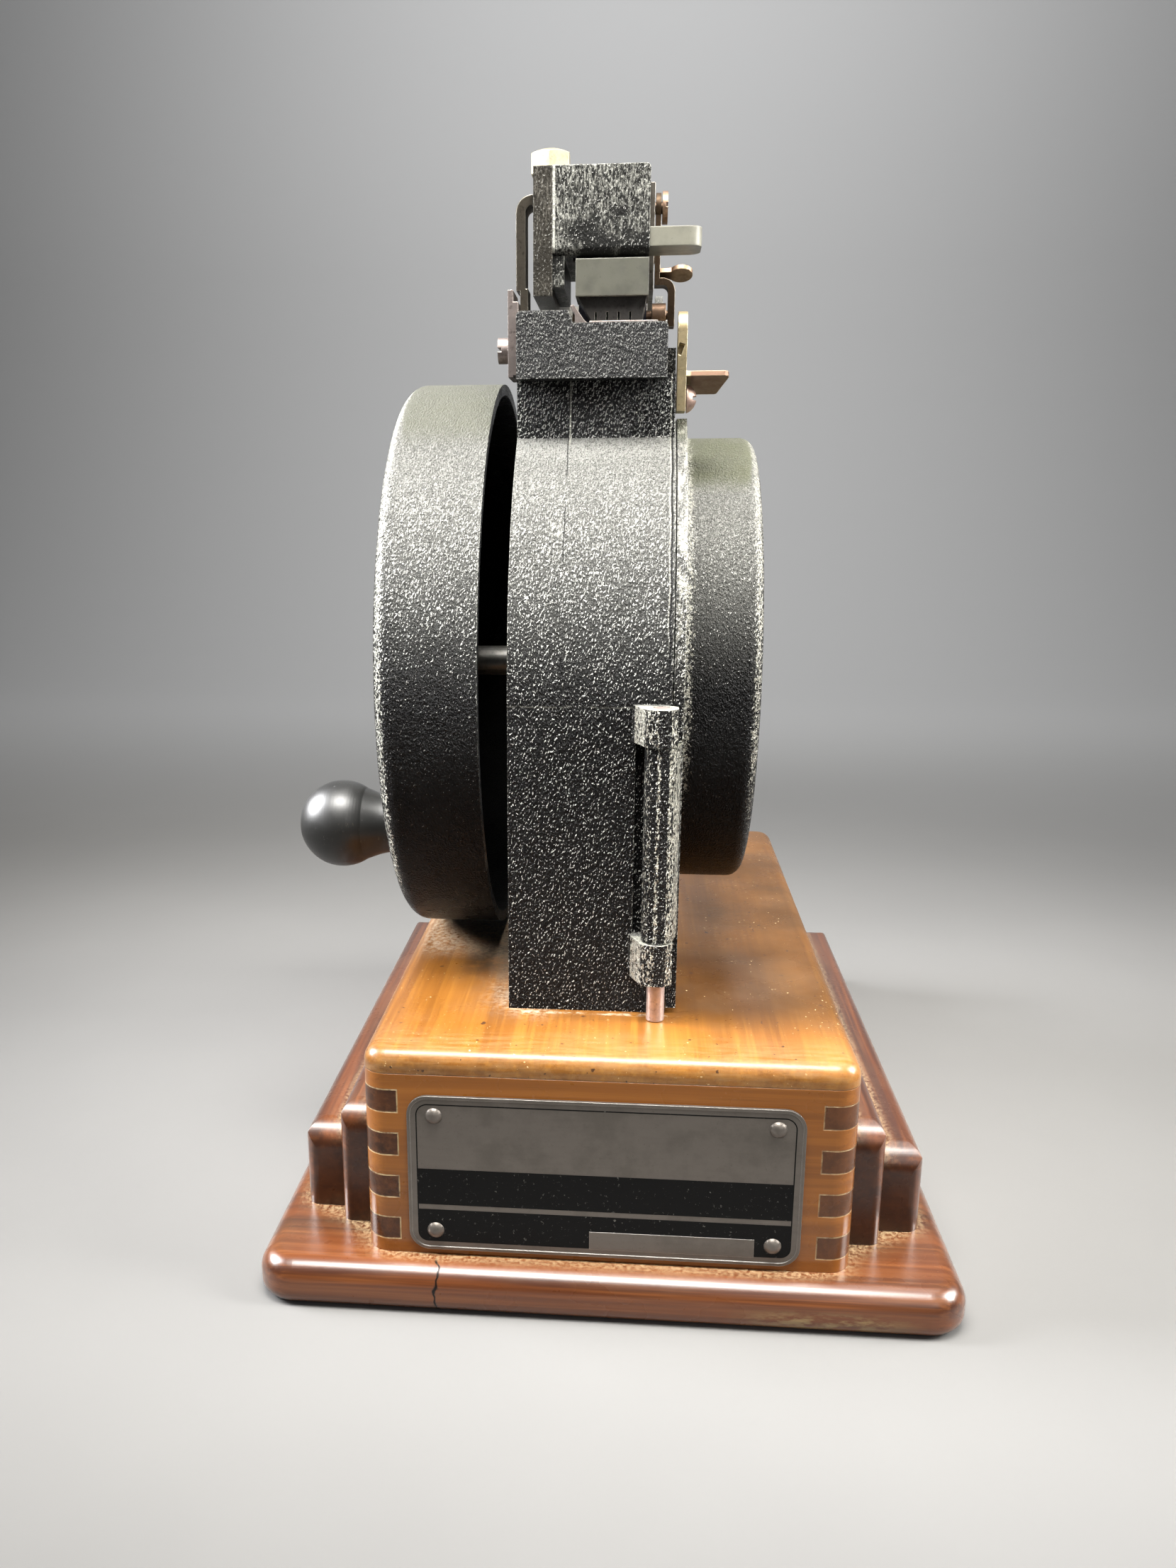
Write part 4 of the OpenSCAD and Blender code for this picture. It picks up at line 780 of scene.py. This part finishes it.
LAMP, WARM = (1.0, 0.98, 0.94), (1.0, 0.98, 0.95)
COOL, WALL_LIGHT = (0.98, 0.98, 1.0), (0.97, 0.98, 1.0)


def area(name, loc, aim, size, power, color, spread=180, deep=None):
    """Area light; its spread is in degrees, and deep makes it a strip of that depth."""
    d = bpy.data.lights.new(name, "AREA")
    d.energy, d.color, d.size = power, color, size
    if deep:
        d.shape = "RECTANGLE"
        d.size_y = deep
    d.spread = math.radians(spread)
    o = bpy.data.objects.new(name, d)
    o.location = loc
    o.rotation_mode = "QUATERNION"
    o.rotation_quaternion = (Vector(aim) - Vector(loc)).to_track_quat("-Z", "Y")
    bpy.context.scene.collection.objects.link(o)


area("key", (-0.02, -0.19, 0.58), (0.0, -0.05, 0.14), 0.40, 1.75, LAMP, 85, 0.12)
area("top", (0.15, 0.20, 0.95), (0, 0, 0.1), 0.6, 3.0, WARM)
area("front", (0.32, -0.72, 0.46), (0, 0, 0.1), 0.35, 0.60, WARM)
area("strip", (-0.03, -0.28, 0.50), (0.0, -0.11, 0.03), 0.50, 0.20, LAMP, 50, 0.05)
area("left", (-0.60, 0.02, 0.46), (0, 0, 0.11), 0.36, 2.0, COOL, 50)
area("back", (0.0, 0.62, 0.95), (0.0, 1.4, 0.55), 0.9, 11.0, WALL_LIGHT)
area("right", (0.62, -0.04, 0.45), (0, 0, 0.10), 0.35, 1.7, WARM, 55)

# Camera fitted to the photograph: its axes and place, then its lens in the photograph's pixels
PHOTO_W, PHOTO_H = 1659, 2212
RIGHT = Vector((0.99563335, 0.09324851, -0.00435211))
UP = Vector((-0.01945463, 0.25286735, 0.96730534))
AHEAD = Vector((-0.09130029, 0.96299679, -0.25357728))
PLACE = Vector((0.004276, -0.388106, 0.196551))
FOCAL, CENTRE_X, CENTRE_Y = 1747.72, 729.07, 1172.13
SENSOR = 36

cam_d = bpy.data.cameras.new("camera")
cam = bpy.data.objects.new("camera", cam_d)
bpy.context.scene.collection.objects.link(cam)
pose = Matrix((RIGHT, UP, -AHEAD)).transposed().to_4x4()
pose.translation = PLACE
cam.matrix_world = pose
cam_d.sensor_fit = "AUTO"
cam_d.sensor_width = SENSOR
cam_d.lens = FOCAL / PHOTO_H * SENSOR
cam_d.shift_x = (PHOTO_W / 2 - CENTRE_X) / PHOTO_H
cam_d.shift_y = (CENTRE_Y - PHOTO_H / 2) / PHOTO_H
cam_d.clip_start, cam_d.clip_end = 0.01, 20
bpy.context.scene.camera = cam
